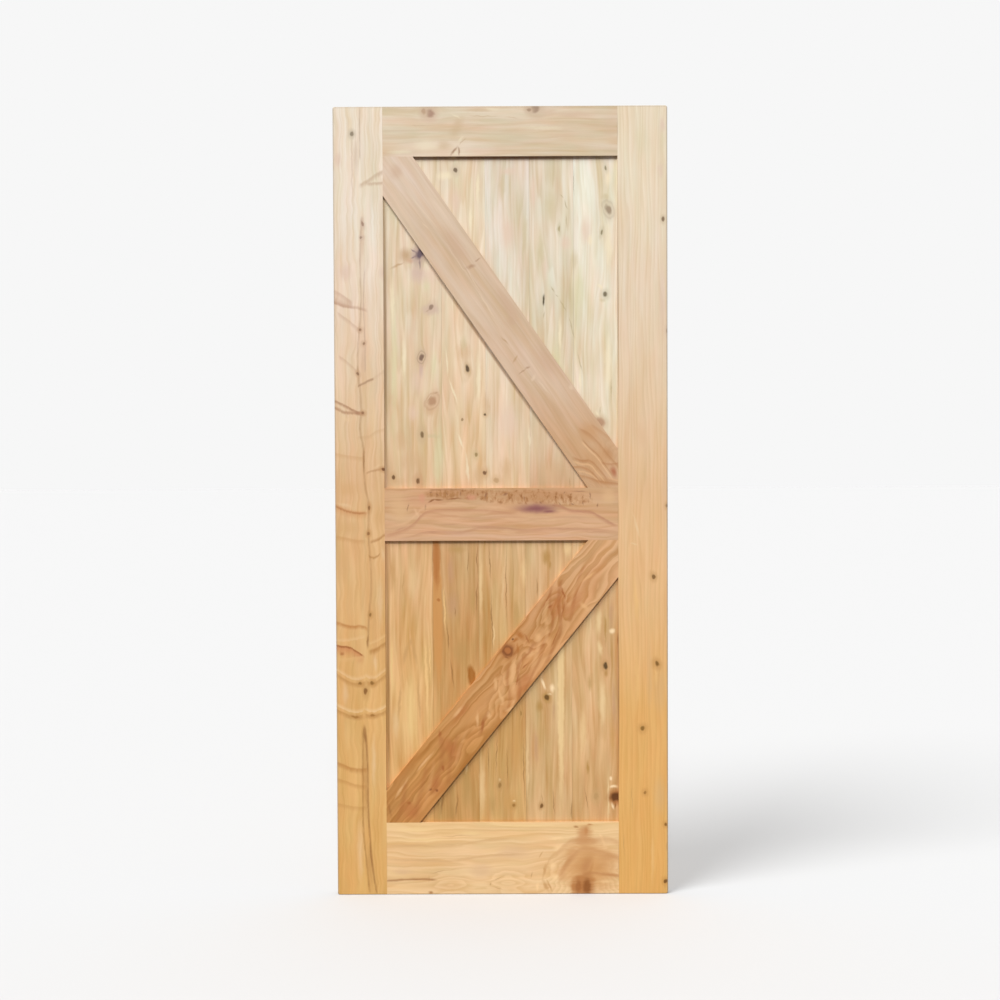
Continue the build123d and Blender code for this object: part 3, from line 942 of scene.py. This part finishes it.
UPPER_BRACE_BANDS = [
    band([(206, 1270), (236, 1254), (262, 1230), (290, 1196), (330, 1150)], 4, 14, (184, 132, 86), 0.6),
    band([(240, 1280), (275, 1256), (330, 1210)], 4, 12, (190, 138, 94), 0.5),
    band([(216, 1240), (240, 1214), (264, 1192), (282, 1166), (304, 1134)], 6, 3, (178, 122, 74), 0.65),
    band([(214, 1236), (240, 1208), (262, 1186), (280, 1160), (304, 1126)], 4, 7, (232, 188, 142), 0.8),
    band([(190, 1192), (214, 1182), (240, 1180), (262, 1160), (290, 1126)], 4, 10, (180, 124, 76), 0.65),
    band([(192, 1182), (214, 1172), (238, 1170), (258, 1150), (284, 1118)], 3, 7, (230, 184, 136), 0.7),
    band([(190, 1164), (222, 1162), (246, 1148), (268, 1122)], 3, 9, (182, 126, 78), 0.65),
    band([(204, 1152), (232, 1148), (252, 1136), (272, 1112)], 3, 6, (228, 182, 134), 0.65),
    band([(206, 1142), (240, 1134), (270, 1124), (330, 1118)], 3, 10, (180, 124, 76), 0.6),
    band([(268, 1184), (290, 1172), (330, 1178)], 3, 8, (182, 126, 82), 0.6),
    band([(286, 1140), (302, 1130), (330, 1128)], 3, 6, (226, 176, 130), 0.6),
]


def upper_brace(side, shift):
    """Straight pinkish grain, with wavy brown figure at the foot."""
    node = f"upper_brace_{side}"
    return wood(
        f"{node}_wood", seed=61.0 + shift, tones=UPPER_BRACE_TONES, lean=-lean_of(node), sides=BRACE_SIDE_SHADE,
        centre=(-4, 1553), pith=(-90.0, 30.0), taper=0.002, ring=17.0, rings=0.35, wander=6.0, streaks=0.38,
        blotches=0.8, warmth=0.7, hue=0.6, swells=UPPER_BRACE_SWELLS, stains_and_shade=UPPER_BRACE_STAINS,
        bands=UPPER_BRACE_BANDS,
    )


LOWER_BRACE_TONES = [
    (197, (191, 131, 70)), (400, (194, 135, 73)), (560, (205, 150, 94)), (700, (204, 147, 92)),
    (965, (214, 165, 118)),
]
LOWER_BRACE_SWELLS = [
    swell(132, 745, 110, 230, 3.2, 12),
    swell(262, 838, 130, 160, 0.9, 40),
    swell(88, 690, 70, 90, 1.6, 20),
    swell(20, 600, 70, 150, 2.2, 20),
    swell(-4, 520, 90, 100, 1.8, 30),
    swell(-100, 420, 90, 160, 1.4, 50),
]
LOWER_BRACE_STAINS = [
    stain((186, 114, 62), 0.6, [
        spot(150, 790, 60, 130, 12), spot(60, 580, 50, 120, 22), spot(190, 790, 60, 120, 40),
        spot(-140, 400, 110, 60, 50), spot(-180, 300, 60, 70), spot(-250, 230, 90, 70, 40),
        spot(-110, 500, 30, 90, 40),
    ], grainy=0.9),
    stain((232, 180, 124), 0.75, [
        spot(98, 702, 26, 34), spot(28, 610, 22, 100, 8), spot(80, 655, 44, 16, -30),
        spot(-4, 545, 12, 70, -14), spot(24, 506, 50, 18, -10), spot(-18, 576, 14, 50),
        line((212, 850), (262, 884), 12), line((208, 800), (240, 770), 20), spot(-68, 478, 12, 56),
        spot(-36, 490, 18, 34), spot(-120, 500, 14, 60, 40), line((-240, 330), (-180, 400), 12),
        line((-300, 250), (-250, 330), 10),
    ]),
    stain((164, 94, 44), 0.75, [
        line((158, 848), (174, 800), 9), line((172, 806), (160, 740), 8), line((160, 742), (128, 660), 7),
        line((92, 752), (146, 842), 6), line((120, 778), (140, 792), 8), line((58, 716), (76, 680), 7),
        line((48, 610), (80, 640), 7), line((34, 560), (50, 612), 7), spot(-54, 462, 13, 60, 8),
        spot(-170, 440, 14, 26), spot(-162, 346, 12, 22), spot(-254, 250, 18, 12),
    ]),
    stain((176, 108, 46), 0.85, [
        spot(50, 708, 46, 26, 50), spot(36, 694, 14, 34, 60), spot(42, 672, 12, 40),
    ]),
    stain((150, 92, 44), 0.5, [
        line((-316, 300), (-240, 392), 12), line((-230, 404), (-90, 574), 7),
        line((-316, 262), (-300, 204), 12),
    ]),
    stain((84, 44, 16), 0.9, [
        line((4, 648), (1, 676), 6), line((4, 648), (22, 644), 7), line((22, 645), (32, 668), 6),
        line((24, 694), (34, 700), 7),
    ], soft=1.0, grainy=0.2),
    stain((130, 70, 32), 0.9, [spot(-197, 287, 12, 11), spot(-180, 285, 13, 12)], grainy=0.2),
]
LOWER_BRACE_THREADS = [
    thread([(118, 630), (146, 690), (160, 740), (154, 790), (170, 862)], 8, (162, 94, 46), 0.5),
    thread([(94, 650), (120, 700), (138, 750), (130, 800), (146, 846)], 7, (166, 98, 48), 0.5),
    thread([(184, 740), (196, 800), (206, 850), (232, 900)], 8, (170, 102, 54), 0.45),
    thread([(28, 496), (48, 556), (44, 606), (72, 656), (86, 690)], 8, (164, 98, 50), 0.5),
    thread([(2, 500), (20, 540), (14, 584), (28, 634)], 7, (166, 100, 52), 0.45),
    thread([(58, 548), (84, 604), (104, 646), (118, 690)], 7, (168, 100, 50), 0.45),
    thread([(-62, 436), (-50, 474), (-36, 506)], 8, (160, 92, 46), 0.5),
    thread([(-190, 270), (-176, 330), (-164, 380), (-172, 436)], 12, (162, 94, 46), 0.4),
    thread([(-150, 300), (-138, 376), (-116, 440)], 10, (164, 96, 48), 0.4),
    thread([(-240, 210), (-222, 280), (-204, 350)], 12, (166, 98, 50), 0.4),
    thread([(-290, 200), (-272, 250), (-262, 310)], 10, (166, 98, 50), 0.4),
    thread([(16, 500), (33, 540), (30, 590), (46, 644)], 9, (232, 180, 126), 0.5),
    thread([(106, 680), (122, 716), (118, 764), (132, 806)], 8, (230, 178, 124), 0.5),
    thread([(74, 620), (96, 664), (102, 704)], 9, (230, 178, 124), 0.5),
    thread([(-8, 510), (2, 556), (-4, 604)], 9, (230, 178, 124), 0.5),
    thread([(180, 780), (196, 826), (222, 872)], 9, (228, 176, 122), 0.45),
    thread([(-128, 350), (-112, 410), (-94, 456)], 8, (220, 164, 108), 0.4),
    thread([(-212, 250), (-196, 310), (-186, 370)], 8, (218, 160, 104), 0.35),
]
LOWER_BRACE_KNOTS = [
    knot(16, 665, 32, 34, (122, 66, 28), halo=(176, 112, 60), spread=1.5, glow=0.7, bend=0.5),
    knot(16, 666, 17, 19, (186, 116, 62), dark=0.85, bend=0.0),
]


def lower_brace(side, shift):
    """Orange wood with a strong figure: loops, swirls and one knot on its upper edge."""
    node = f"lower_brace_{side}"
    return wood(
        f"{node}_wood", seed=71.0 + shift, tones=LOWER_BRACE_TONES, lean=lean_of(node),
        sides=LOWER_BRACE_SIDE_SHADE, centre=(4, 581), pith=(10.0, 34.0), taper=0.03, ring=26.0, rings=2.0,
        wander=16.0, waves=7.0, wave_size=70.0, streaks=0.7, blotches=1.3, warmth=1.2,
        swells=LOWER_BRACE_SWELLS, stains_and_shade=LOWER_BRACE_STAINS, threads=LOWER_BRACE_THREADS,
        knots=LOWER_BRACE_KNOTS,
    )


for side, shift in (("front", 0.0), ("back", 3.3)):
    dress(f"upper_brace_{side}", upper_brace(side, shift))
    dress(f"lower_brace_{side}", lower_brace(side, shift))


# The boards of the two panels

UPPER_KNOTS = [
    knot(-120, 1965, 10, 13, (110, 90, 68), halo=(210, 186, 160), spread=3.0),
    knot(-218, 1740, 20, 30, (92, 74, 88), halo=(180, 150, 142), tilt=20, spread=2.4, glow=0.7),
    knot(-188, 1596, 10, 15, (150, 124, 104), halo=(214, 186, 160), tilt=30, spread=3.4),
    knot(-214, 1461, 12, 18, (120, 92, 76), halo=(206, 176, 150), spread=3.2, ring=0.3, bend=0.9),
    knot(-187, 1342, 19, 28, (184, 142, 108), halo=(210, 172, 138), tilt=34, ring=0.35),
    knot(-215, 1252, 11, 18, (122, 96, 62), halo=(206, 176, 138), spread=3.0),
    knot(-226, 1127, 10, 18, (112, 76, 40), halo=(200, 156, 112), spread=3.0),
    knot(-293, 1137, 9, 13, (102, 68, 34), halo=(204, 164, 118)),
    knot(-90, 1431, 10, 21, (66, 46, 22), halo=(196, 162, 118), tilt=-14, spread=2.2, bend=0.9),
    knot(-105, 1293, 6, 9, (160, 130, 92), halo=(224, 192, 154), spread=3.6),
    knot(-43, 1306, 6, 8, (92, 72, 46), halo=(214, 180, 138), spread=2.8),
    knot(-68, 1197, 8, 11, (156, 130, 84), halo=(208, 180, 134), spread=3.0),
    knot(-45, 1148, 9, 13, (116, 78, 46), halo=(208, 166, 120), spread=3.0),
    knot(-13, 1128, 16, 13, (196, 158, 116), halo=(214, 178, 136)),
    knot(292, 1858, 17, 28, (160, 138, 114), halo=(210, 192, 164), tilt=-22, ring=0.2),
    knot(283, 1630, 13, 15, (106, 94, 68), halo=(206, 194, 166), spread=2.4),
    knot(273, 1796, 5, 16, (138, 126, 92), halo=(206, 194, 164), tilt=18),
    knot(285, 1968, 6, 14, (146, 134, 102), halo=(214, 202, 174), tilt=-10),
    knot(268, 1284, 26, 26, (184, 144, 114), halo=(206, 174, 138), spread=1.8),
    knot(160, 1806, 5, 18, (178, 162, 120), halo=(208, 194, 160)),
]
UPPER_STAINS_AND_SHADE = [
    # Painted shadows: a dark band under the top rail, a line below the upper brace's lower edge and a line
    # beside the left stile
    edge_line((120, 62, 0), 0.85, [line((-700, 1998), (700, 1998), 26)]),
    edge_line((130, 76, 20), 0.6, [line((-340, 1920), (250, 1075), 12)]),
    edge_line((150, 108, 66), 0.6, [line((-312, 1060), (-312, 1940), 13)]),
    stain((222, 214, 170), 0.6, [
        spot(-288, 1430, 28, 560), spot(-170, 1190, 44, 240), spot(-200, 1660, 30, 60),
        spot(-180, 1440, 30, 120), spot(150, 1420, 60, 260), spot(210, 1640, 46, 240),
    ]),
    stain((248, 232, 198), 0.7, [
        spot(-292, 1610, 18, 170), spot(-262, 1460, 16, 160), line((-150, 1500), (-142, 1400), 8),
        line((-142, 1410), (-112, 1325), 8), line((-122, 1262), (-98, 1210), 8),
        line((-96, 1215), (-88, 1110), 10), spot(-60, 1400, 20, 200), line((72, 1300), (80, 1180), 8),
        spot(-150, 1950, 60, 34), spot(-60, 1920, 14, 120), spot(-80, 1830, 14, 90),
        spot(160, 1520, 14, 130), spot(292, 1760, 26, 180), spot(290, 1440, 30, 220),
        spot(215, 1400, 10, 80), spot(242, 1775, 24, 44), spot(270, 1650, 30, 12, 50),
        spot(262, 1306, 30, 12, 60), spot(290, 1940, 26, 60),
    ]),
    stain((232, 202, 180), 0.6, [
        spot(-225, 1400, 60, 110), spot(-200, 1680, 90, 70), spot(20, 1290, 90, 150),
        spot(-160, 1820, 40, 110), spot(-120, 1880, 40, 110), spot(20, 1960, 60, 30),
        spot(20, 1790, 70, 120), spot(90, 1900, 24, 130), spot(175, 1770, 44, 60), spot(230, 1800, 40, 110),
        spot(120, 1700, 30, 100), spot(-240, 1310, 40, 60),
    ]),
    stain((214, 176, 134), 0.6, [
        spot(-272, 1238, 50, 80), spot(-240, 1180, 90, 70), spot(-62, 1140, 50, 80),
        spot(-68, 1216, 16, 50), spot(-40, 1330, 30, 90), spot(130, 1150, 80, 90), spot(12, 1160, 50, 80),
        spot(-280, 1125, 60, 30), spot(-100, 1476, 60, 70), spot(-190, 1318, 60, 44),
    ], grainy=1.0),
    stain((208, 190, 148), 0.55, [
        spot(-185, 1248, 60, 18), spot(66, 1800, 26, 160), line((64, 1850), (60, 1660), 8),
        spot(140, 1860, 50, 130), spot(110, 1740, 26, 180), spot(190, 1600, 24, 160),
        spot(275, 1612, 22, 20), spot(282, 1892, 34, 24), spot(200, 1720, 30, 90), spot(5, 1920, 26, 110),
        spot(-100, 1500, 26, 60),
    ]),
    stain((208, 178, 166), 0.7, [
        spot(-225, 1690, 64, 84), spot(-190, 1590, 76, 40), spot(-216, 1430, 20, 70),
    ], soft=1.0),
    stain((192, 156, 116), 0.8, [
        spot(-256, 1736, 60, 56, 60), line((-304, 1698), (-250, 1722), 10), spot(-128, 2000, 40, 30),
    ], soft=1.0, grainy=0.3),
    stain((214, 164, 134), 0.6, [spot(-244, 1722, 26, 26)], soft=1.0),
    stain((176, 156, 112), 0.6, [
        line((156, 1900), (174, 1886), 5), line((172, 1888), (184, 1852), 5),
        line((178, 1850), (179, 1806), 5), line((134, 1656), (148, 1630), 5),
        line((146, 1630), (158, 1624), 5), line((158, 1622), (180, 1578), 5),
        line((178, 1584), (204, 1500), 5), line((204, 1482), (224, 1412), 5),
        line((300, 1420), (296, 1330), 4), line((270, 1330), (268, 1300), 4),
        line((120, 1590), (115, 1560), 6),
    ], soft=1.0),
    stain((168, 148, 112), 0.7, [line((199, 1990), (199, 1880), 4)], soft=1.0, grainy=0.2),
    stain((84, 72, 46), 1.0, [line((117, 1636), (115, 1594), 8)], soft=0.7, grainy=0.2),
    stain((90, 70, 92), 0.8, [
        line((-220, 1740), (-217, 1694), 9), line((-222, 1738), (-244, 1756), 7),
        line((-222, 1736), (-246, 1728), 7),
    ], soft=1.0, grainy=0.3),
    stain((160, 122, 90), 0.7, [
        line((-206, 1334), (-184, 1362), 6), line((-186, 1361), (-166, 1367), 5),
        line((-205, 1584), (-190, 1592), 6),
    ], soft=1.0, grainy=0.3),
    stain((150, 106, 66), 0.6, [line((185, 1140), (185, 1104), 3)], grainy=0.2),
]
LOWER_KNOTS = [
    knot(-8, 298, 9, 16, (156, 116, 62), halo=(190, 148, 92), spread=2.4),
    knot(30, 240, 10, 11, (156, 112, 52), halo=(190, 144, 82), spread=2.2),
    knot(105, 241, 10, 14, (108, 70, 24), halo=(186, 138, 84), spread=2.0),
    knot(122, 536, 12, 16, (96, 64, 20), halo=(180, 136, 70), tilt=-24, spread=2.2, glow=0.7),
    knot(281, 622, 13, 20, (66, 48, 16), halo=(190, 146, 92), spread=1.9),
    knot(309, 264, 29, 27, (84, 42, 4), halo=(168, 106, 52), spread=1.7, glow=0.8),
    knot(50, 493, 5, 12, (166, 124, 66), halo=(194, 150, 90)),
    knot(255, 265, 14, 20, (190, 150, 98), halo=(204, 164, 112)),
]
LOWER_STAINS_AND_SHADE = [
    # Painted shade: a line over the bottom rail that dims the light it throws up, a line under the middle
    # rail and lines beside both stiles
    edge_line((176, 124, 70), 0.35, [line((-700, 199), (700, 199), 14)]),
    edge_line((150, 80, 0), 0.15, [line((-700, 964), (700, 964), 18)]),
    edge_line((150, 100, 48), 0.6, [line((-309, 150), (-309, 1010), 12)]),
    edge_line((150, 100, 48), 0.4, [line((314, 150), (314, 1010), 9)]),
    stain((232, 196, 146), 0.6, [
        spot(-242, 860, 54, 170), spot(-290, 470, 26, 120), spot(3, 850, 12, 220),
    ]),
    stain((236, 200, 136), 0.7, [spot(-247, 490, 46, 290), spot(-300, 620, 12, 240)]),
    stain((200, 154, 98), 0.7, [
        line((-249, 706), (-274, 610), 14), line((-272, 620), (-286, 440), 12),
        line((-247, 706), (-230, 610), 14), line((-231, 620), (-222, 440), 11), spot(-248, 690, 16, 34),
        line((-262, 900), (-272, 800), 8), spot(-296, 880, 24, 150),
    ]),
    stain((246, 202, 138), 0.8, [
        line((-212, 760), (-200, 430), 12), line((-198, 720), (-194, 560), 6),
        line((-157, 860), (-154, 690), 7),
    ], grainy=0.2),
    stain((208, 148, 84), 0.85, [line((-176, 1000), (-172, 520), 32)], soft=0.45, grainy=0.2),
    stain((182, 116, 58), 0.85, [spot(-177, 930, 28, 240), spot(-172, 804, 14, 12)], soft=0.55, grainy=0.3),
    stain((196, 150, 112), 0.6, [
        spot(-132, 790, 50, 110), spot(-138, 880, 24, 120), spot(92, 400, 18, 120), spot(140, 500, 12, 80),
        spot(304, 500, 20, 220), spot(296, 760, 20, 120),
    ]),
    stain((188, 148, 88), 0.6, [
        spot(-110, 660, 70, 110), spot(-80, 800, 24, 120), spot(-120, 940, 70, 30), spot(40, 760, 40, 160),
        spot(-44, 760, 22, 200), spot(240, 576, 24, 60), spot(-100, 300, 50, 180), spot(-26, 240, 30, 100),
    ], grainy=0.8),
    stain((206, 156, 90), 0.6, [
        spot(36, 400, 44, 220), spot(20, 250, 60, 90), spot(300, 430, 26, 200),
    ], grainy=0.8),
    stain((236, 200, 146), 0.75, [
        spot(-55, 300, 24, 210), spot(-98, 360, 10, 80), spot(68, 360, 13, 300), spot(-22, 710, 8, 100),
        spot(-57, 840, 14, 240), spot(60, 880, 24, 110), spot(126, 800, 16, 90), spot(180, 940, 30, 60),
        spot(220, 440, 30, 160),
    ]),
    stain((240, 206, 150), 0.85, [line((160, 1000), (160, 150), 24)], soft=0.6, grainy=0.3),
    stain((238, 206, 154), 0.85, [
        line((264, 800), (262, 690), 24), line((262, 700), (272, 640), 18), spot(272, 520, 26, 190),
        spot(288, 260, 10, 180), spot(-8, 312, 12, 12), spot(30, 253, 12, 10),
    ], grainy=0.2),
    stain((148, 104, 54), 0.7, [
        line((-152, 752), (-142, 650), 6), line((-143, 660), (-130, 550), 7),
        line((-68, 970), (-66, 860), 5), line((-66, 870), (-71, 746), 6), line((-128, 790), (-126, 750), 5),
        line((-34, 960), (-30, 840), 5), line((-30, 850), (-24, 636), 6), line((12, 970), (12, 700), 4),
        line((-90, 960), (-92, 850), 4), line((96, 872), (98, 800), 7), line((-40, 430), (-38, 300), 4),
        line((-12, 450), (-20, 310), 5), line((12, 420), (14, 280), 4), line((106, 276), (106, 246), 4),
        line((-122, 290), (-128, 200), 6), line((-160, 290), (-170, 200), 9),
        line((186, 260), (190, 190), 5), line((58, 480), (60, 200), 4), line((138, 300), (142, 200), 5),
        line((222, 300), (236, 210), 4),
    ], soft=1.0),
    stain((166, 104, 38), 0.95, [line((-86, 632), (-82, 560), 26)], soft=0.5, grainy=0.4),
    stain((178, 134, 68), 0.75, [
        spot(102, 512, 26, 44), spot(122, 918, 38, 60), spot(130, 900, 14, 40), spot(232, 345, 12, 56),
        spot(283, 602, 16, 32), spot(281, 722, 10, 140),
    ]),
    stain((254, 224, 178), 0.95, [
        line((104, 594), (120, 552), 11), spot(137, 562, 20, 34), spot(300, 717, 21, 21),
        spot(302, 292, 30, 11), spot(296, 314, 12, 16), spot(300, 240, 12, 34, -16), spot(128, 545, 18, 9),
    ], grainy=0.2),
    stain((140, 88, 44), 0.8, [
        line((310, 256), (306, 226), 9), line((317, 720), (317, 670), 10),
    ], grainy=0.2),
]
UPPER_TONES = {
    1: [
        (1110, (218, 180, 138)), (1210, (224, 192, 152)), (1400, (226, 200, 166)), (1700, (230, 208, 178)),
        (1980, (232, 212, 182)),
    ],
    2: [
        (1110, (226, 188, 146)), (1210, (230, 197, 157)), (1400, (230, 200, 164)), (1600, (234, 208, 176)),
        (1980, (234, 215, 187)),
    ],
    3: [
        (1110, (226, 190, 150)), (1210, (231, 201, 167)), (1400, (232, 208, 178)), (1600, (230, 213, 189)),
        (1980, (228, 213, 191)),
    ],
    4: [(1110, (208, 168, 128)), (1210, (220, 186, 150)), (1400, (227, 210, 182)), (1980, (227, 212, 186))],
    5: [(1110, (212, 168, 126)), (1210, (227, 203, 169)), (1400, (235, 219, 191)), (1980, (236, 224, 201))],
}
LOWER_TONES = {
    1: [(200, (222, 170, 106)), (600, (223, 176, 116)), (960, (220, 174, 124))],
    2: [(200, (194, 148, 88)), (500, (204, 154, 94)), (700, (200, 150, 92)), (960, (208, 166, 117))],
    3: [(200, (208, 163, 103)), (500, (203, 156, 96)), (700, (207, 162, 104)), (960, (218, 178, 129))],
    4: [(200, (211, 169, 116)), (700, (213, 173, 122)), (960, (212, 172, 124))],
    5: [(200, (210, 164, 110)), (500, (217, 174, 122)), (960, (218, 178, 130))],
}

# The figure of the boards: arches where the tree's middle lies behind a board, else straight lines
ARCHED = dict(pith=(0.0, 60.0), taper=-0.05, ring=14.0, rings=0.7)
STRAIGHT = dict(pith=(-80.0, 20.0), taper=0.004, ring=14.0, rings=0.5)
CONTRAST = {"upper": 0.55, "lower": 1.1}
FIGURES = {
    "upper": {1: ARCHED, 2: ARCHED, 3: STRAIGHT, 4: ARCHED, 5: STRAIGHT},
    "lower": {1: ARCHED, 2: STRAIGHT, 3: STRAIGHT, 4: STRAIGHT, 5: ARCHED},
}


def reaches(shape, low, high):
    """Whether an oval lies over any part of a board between two values of x."""
    turn = math.radians(shape["tilt"])
    half = math.hypot(shape["wide"] * math.cos(turn), shape["tall"] * math.sin(turn)) / 2 + 8.0
    return low - half < shape["x"] < high + half


def on_board(stains_and_shade, low, high):
    """The stains and painted shade lines that reach onto a board, each with only its ovals there."""
    kept = []
    for each in stains_and_shade:
        ovals = [shape for shape in each["ovals"] if reaches(shape, low, high)]
        if ovals:
            kept.append(dict(each, ovals=ovals))
    return kept


def board_look(panel, number, tones, knots, stains_and_shade):
    """The material of one board of a panel, with the knots, stains and painted shade lines that reach onto
    it.
    """
    node = f"{panel}_board_{number}"
    low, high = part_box(node)
    left, right = low.x / MM, high.x / MM
    middle = ((left + right) / 2, (low.z + high.z) / 2 / MM - FOOT)
    seed = 80.0 + 7.0 * number + (40.0 if panel == "lower" else 0.0)
    near = [each for each in knots if left - 30.0 < each["x"] < right + 30.0]
    return wood(
        f"{node}_wood", seed, tones[number], centre=middle, wander=9.0, streaks=CONTRAST[panel],
        blotches=1.1, hue=1.3, knots=near, stains_and_shade=on_board(stains_and_shade, left, right), **FIGURES[panel][number],
    )


for number in range(1, 6):
    dress(f"upper_board_{number}", board_look("upper", number, UPPER_TONES, UPPER_KNOTS, UPPER_STAINS_AND_SHADE))
    dress(f"lower_board_{number}", board_look("lower", number, LOWER_TONES, LOWER_KNOTS, LOWER_STAINS_AND_SHADE))


# The floor and the backdrop

# Greys from 0 to 1
BACKDROP = 0.93
ROOM_LIGHT = 0.31
FLOOR_SEEN = 0.64  # by the camera
FLOOR_THROWN = 0.17  # of the light that bounces off the floor
FLOOR_HALF_SIZE = 60.0  # in metres


def floor_material():
    """A pale floor that keeps the door's shadow and throws little light back at the door."""
    g = Graph("floor_paint")
    ray = g.node("LightPath")
    seen = g.math("MAXIMUM", ray.outputs["Is Camera Ray"], ray.outputs["Is Glossy Ray"])
    pick = g.node("MixShader")
    g.feed(pick.inputs[0], seen)
    for socket, grey in ((pick.inputs[1], FLOOR_THROWN), (pick.inputs[2], FLOOR_SEEN)):
        paper = g.node("BsdfDiffuse")
        paper.inputs["Color"].default_value = (grey, grey, grey, 1.0)
        g.feed(socket, paper.outputs[0])
    g.feed(g.node("OutputMaterial").inputs["Surface"], pick.outputs[0])
    return g.material


def make_floor():
    """A wide floor that the door stands on."""
    size = FLOOR_HALF_SIZE
    level = FOOT * MM
    mesh = bpy.data.meshes.new("floor")
    corners = [(-size, -size, level), (size, -size, level), (size, size, level), (-size, size, level)]
    mesh.from_pydata(corners, [], [(0, 1, 2, 3)])
    mesh.materials.append(floor_material())
    floor = bpy.data.objects.new("floor", mesh)
    bpy.context.scene.collection.objects.link(floor)


def make_world():
    """Even light from all round, and the same pale tone as the floor where the camera sees it."""
    world = bpy.data.worlds.new("room")
    bpy.context.scene.world = world
    world.use_nodes = True
    tree = world.node_tree
    tree.nodes.clear()
    ray = tree.nodes.new("ShaderNodeLightPath")
    pick = tree.nodes.new("ShaderNodeMixShader")
    out = tree.nodes.new("ShaderNodeOutputWorld")
    tree.links.new(ray.outputs["Is Camera Ray"], pick.inputs[0])
    for socket, grey in ((1, ROOM_LIGHT), (2, BACKDROP)):
        light = tree.nodes.new("ShaderNodeBackground")
        light.inputs["Color"].default_value = (grey, grey, grey, 1.0)
        tree.links.new(light.outputs[0], pick.inputs[socket])
    tree.links.new(pick.outputs[0], out.inputs["Surface"])


def make_sun(name, direction, strength, spread):
    """A distant lamp. direction is the way its light travels, and spread is its size in degrees."""
    data = bpy.data.lights.new(name, "SUN")
    data.energy = strength
    data.angle = math.radians(spread)
    lamp = bpy.data.objects.new(name, data)
    lamp.rotation_mode = "QUATERNION"
    lamp.rotation_quaternion = Vector(direction).to_track_quat("-Z", "Y")
    bpy.context.scene.collection.objects.link(lamp)


make_floor()
make_world()
make_sun("key", direction=(1.05, 1.0, -1.6), strength=2.16, spread=30.0)
make_sun("front", direction=(0.0, 1.0, -1.0), strength=1.68, spread=12.0)
make_sun("back", direction=(0.0, -1.0, -0.6), strength=1.3, spread=150.0)


# The camera

def make_camera():
    """A camera 4 m in front of the door, a little above its middle, turned as the photo was taken."""
    place = Vector((0.008, -4.013, -0.954))
    yaw, pitch, roll = (math.radians(angle) for angle in (0.168, -1.51, -0.239))
    focal_pixels, image_pixels, sensor = 1477.0, 1000.0, 36.0
    data = bpy.data.cameras.new("camera")
    data.sensor_width = sensor
    data.lens = sensor * focal_pixels / image_pixels
    camera = bpy.data.objects.new("camera", data)
    aim = Matrix.Rotation(yaw, 4, "Z") @ Matrix.Rotation(math.pi / 2 + pitch, 4, "X")
    camera.matrix_world = Matrix.Translation(place) @ aim @ Matrix.Rotation(roll, 4, "Z")
    bpy.context.scene.collection.objects.link(camera)
    bpy.context.scene.camera = camera


make_camera()
bpy.context.scene.view_settings.view_transform = "Standard"
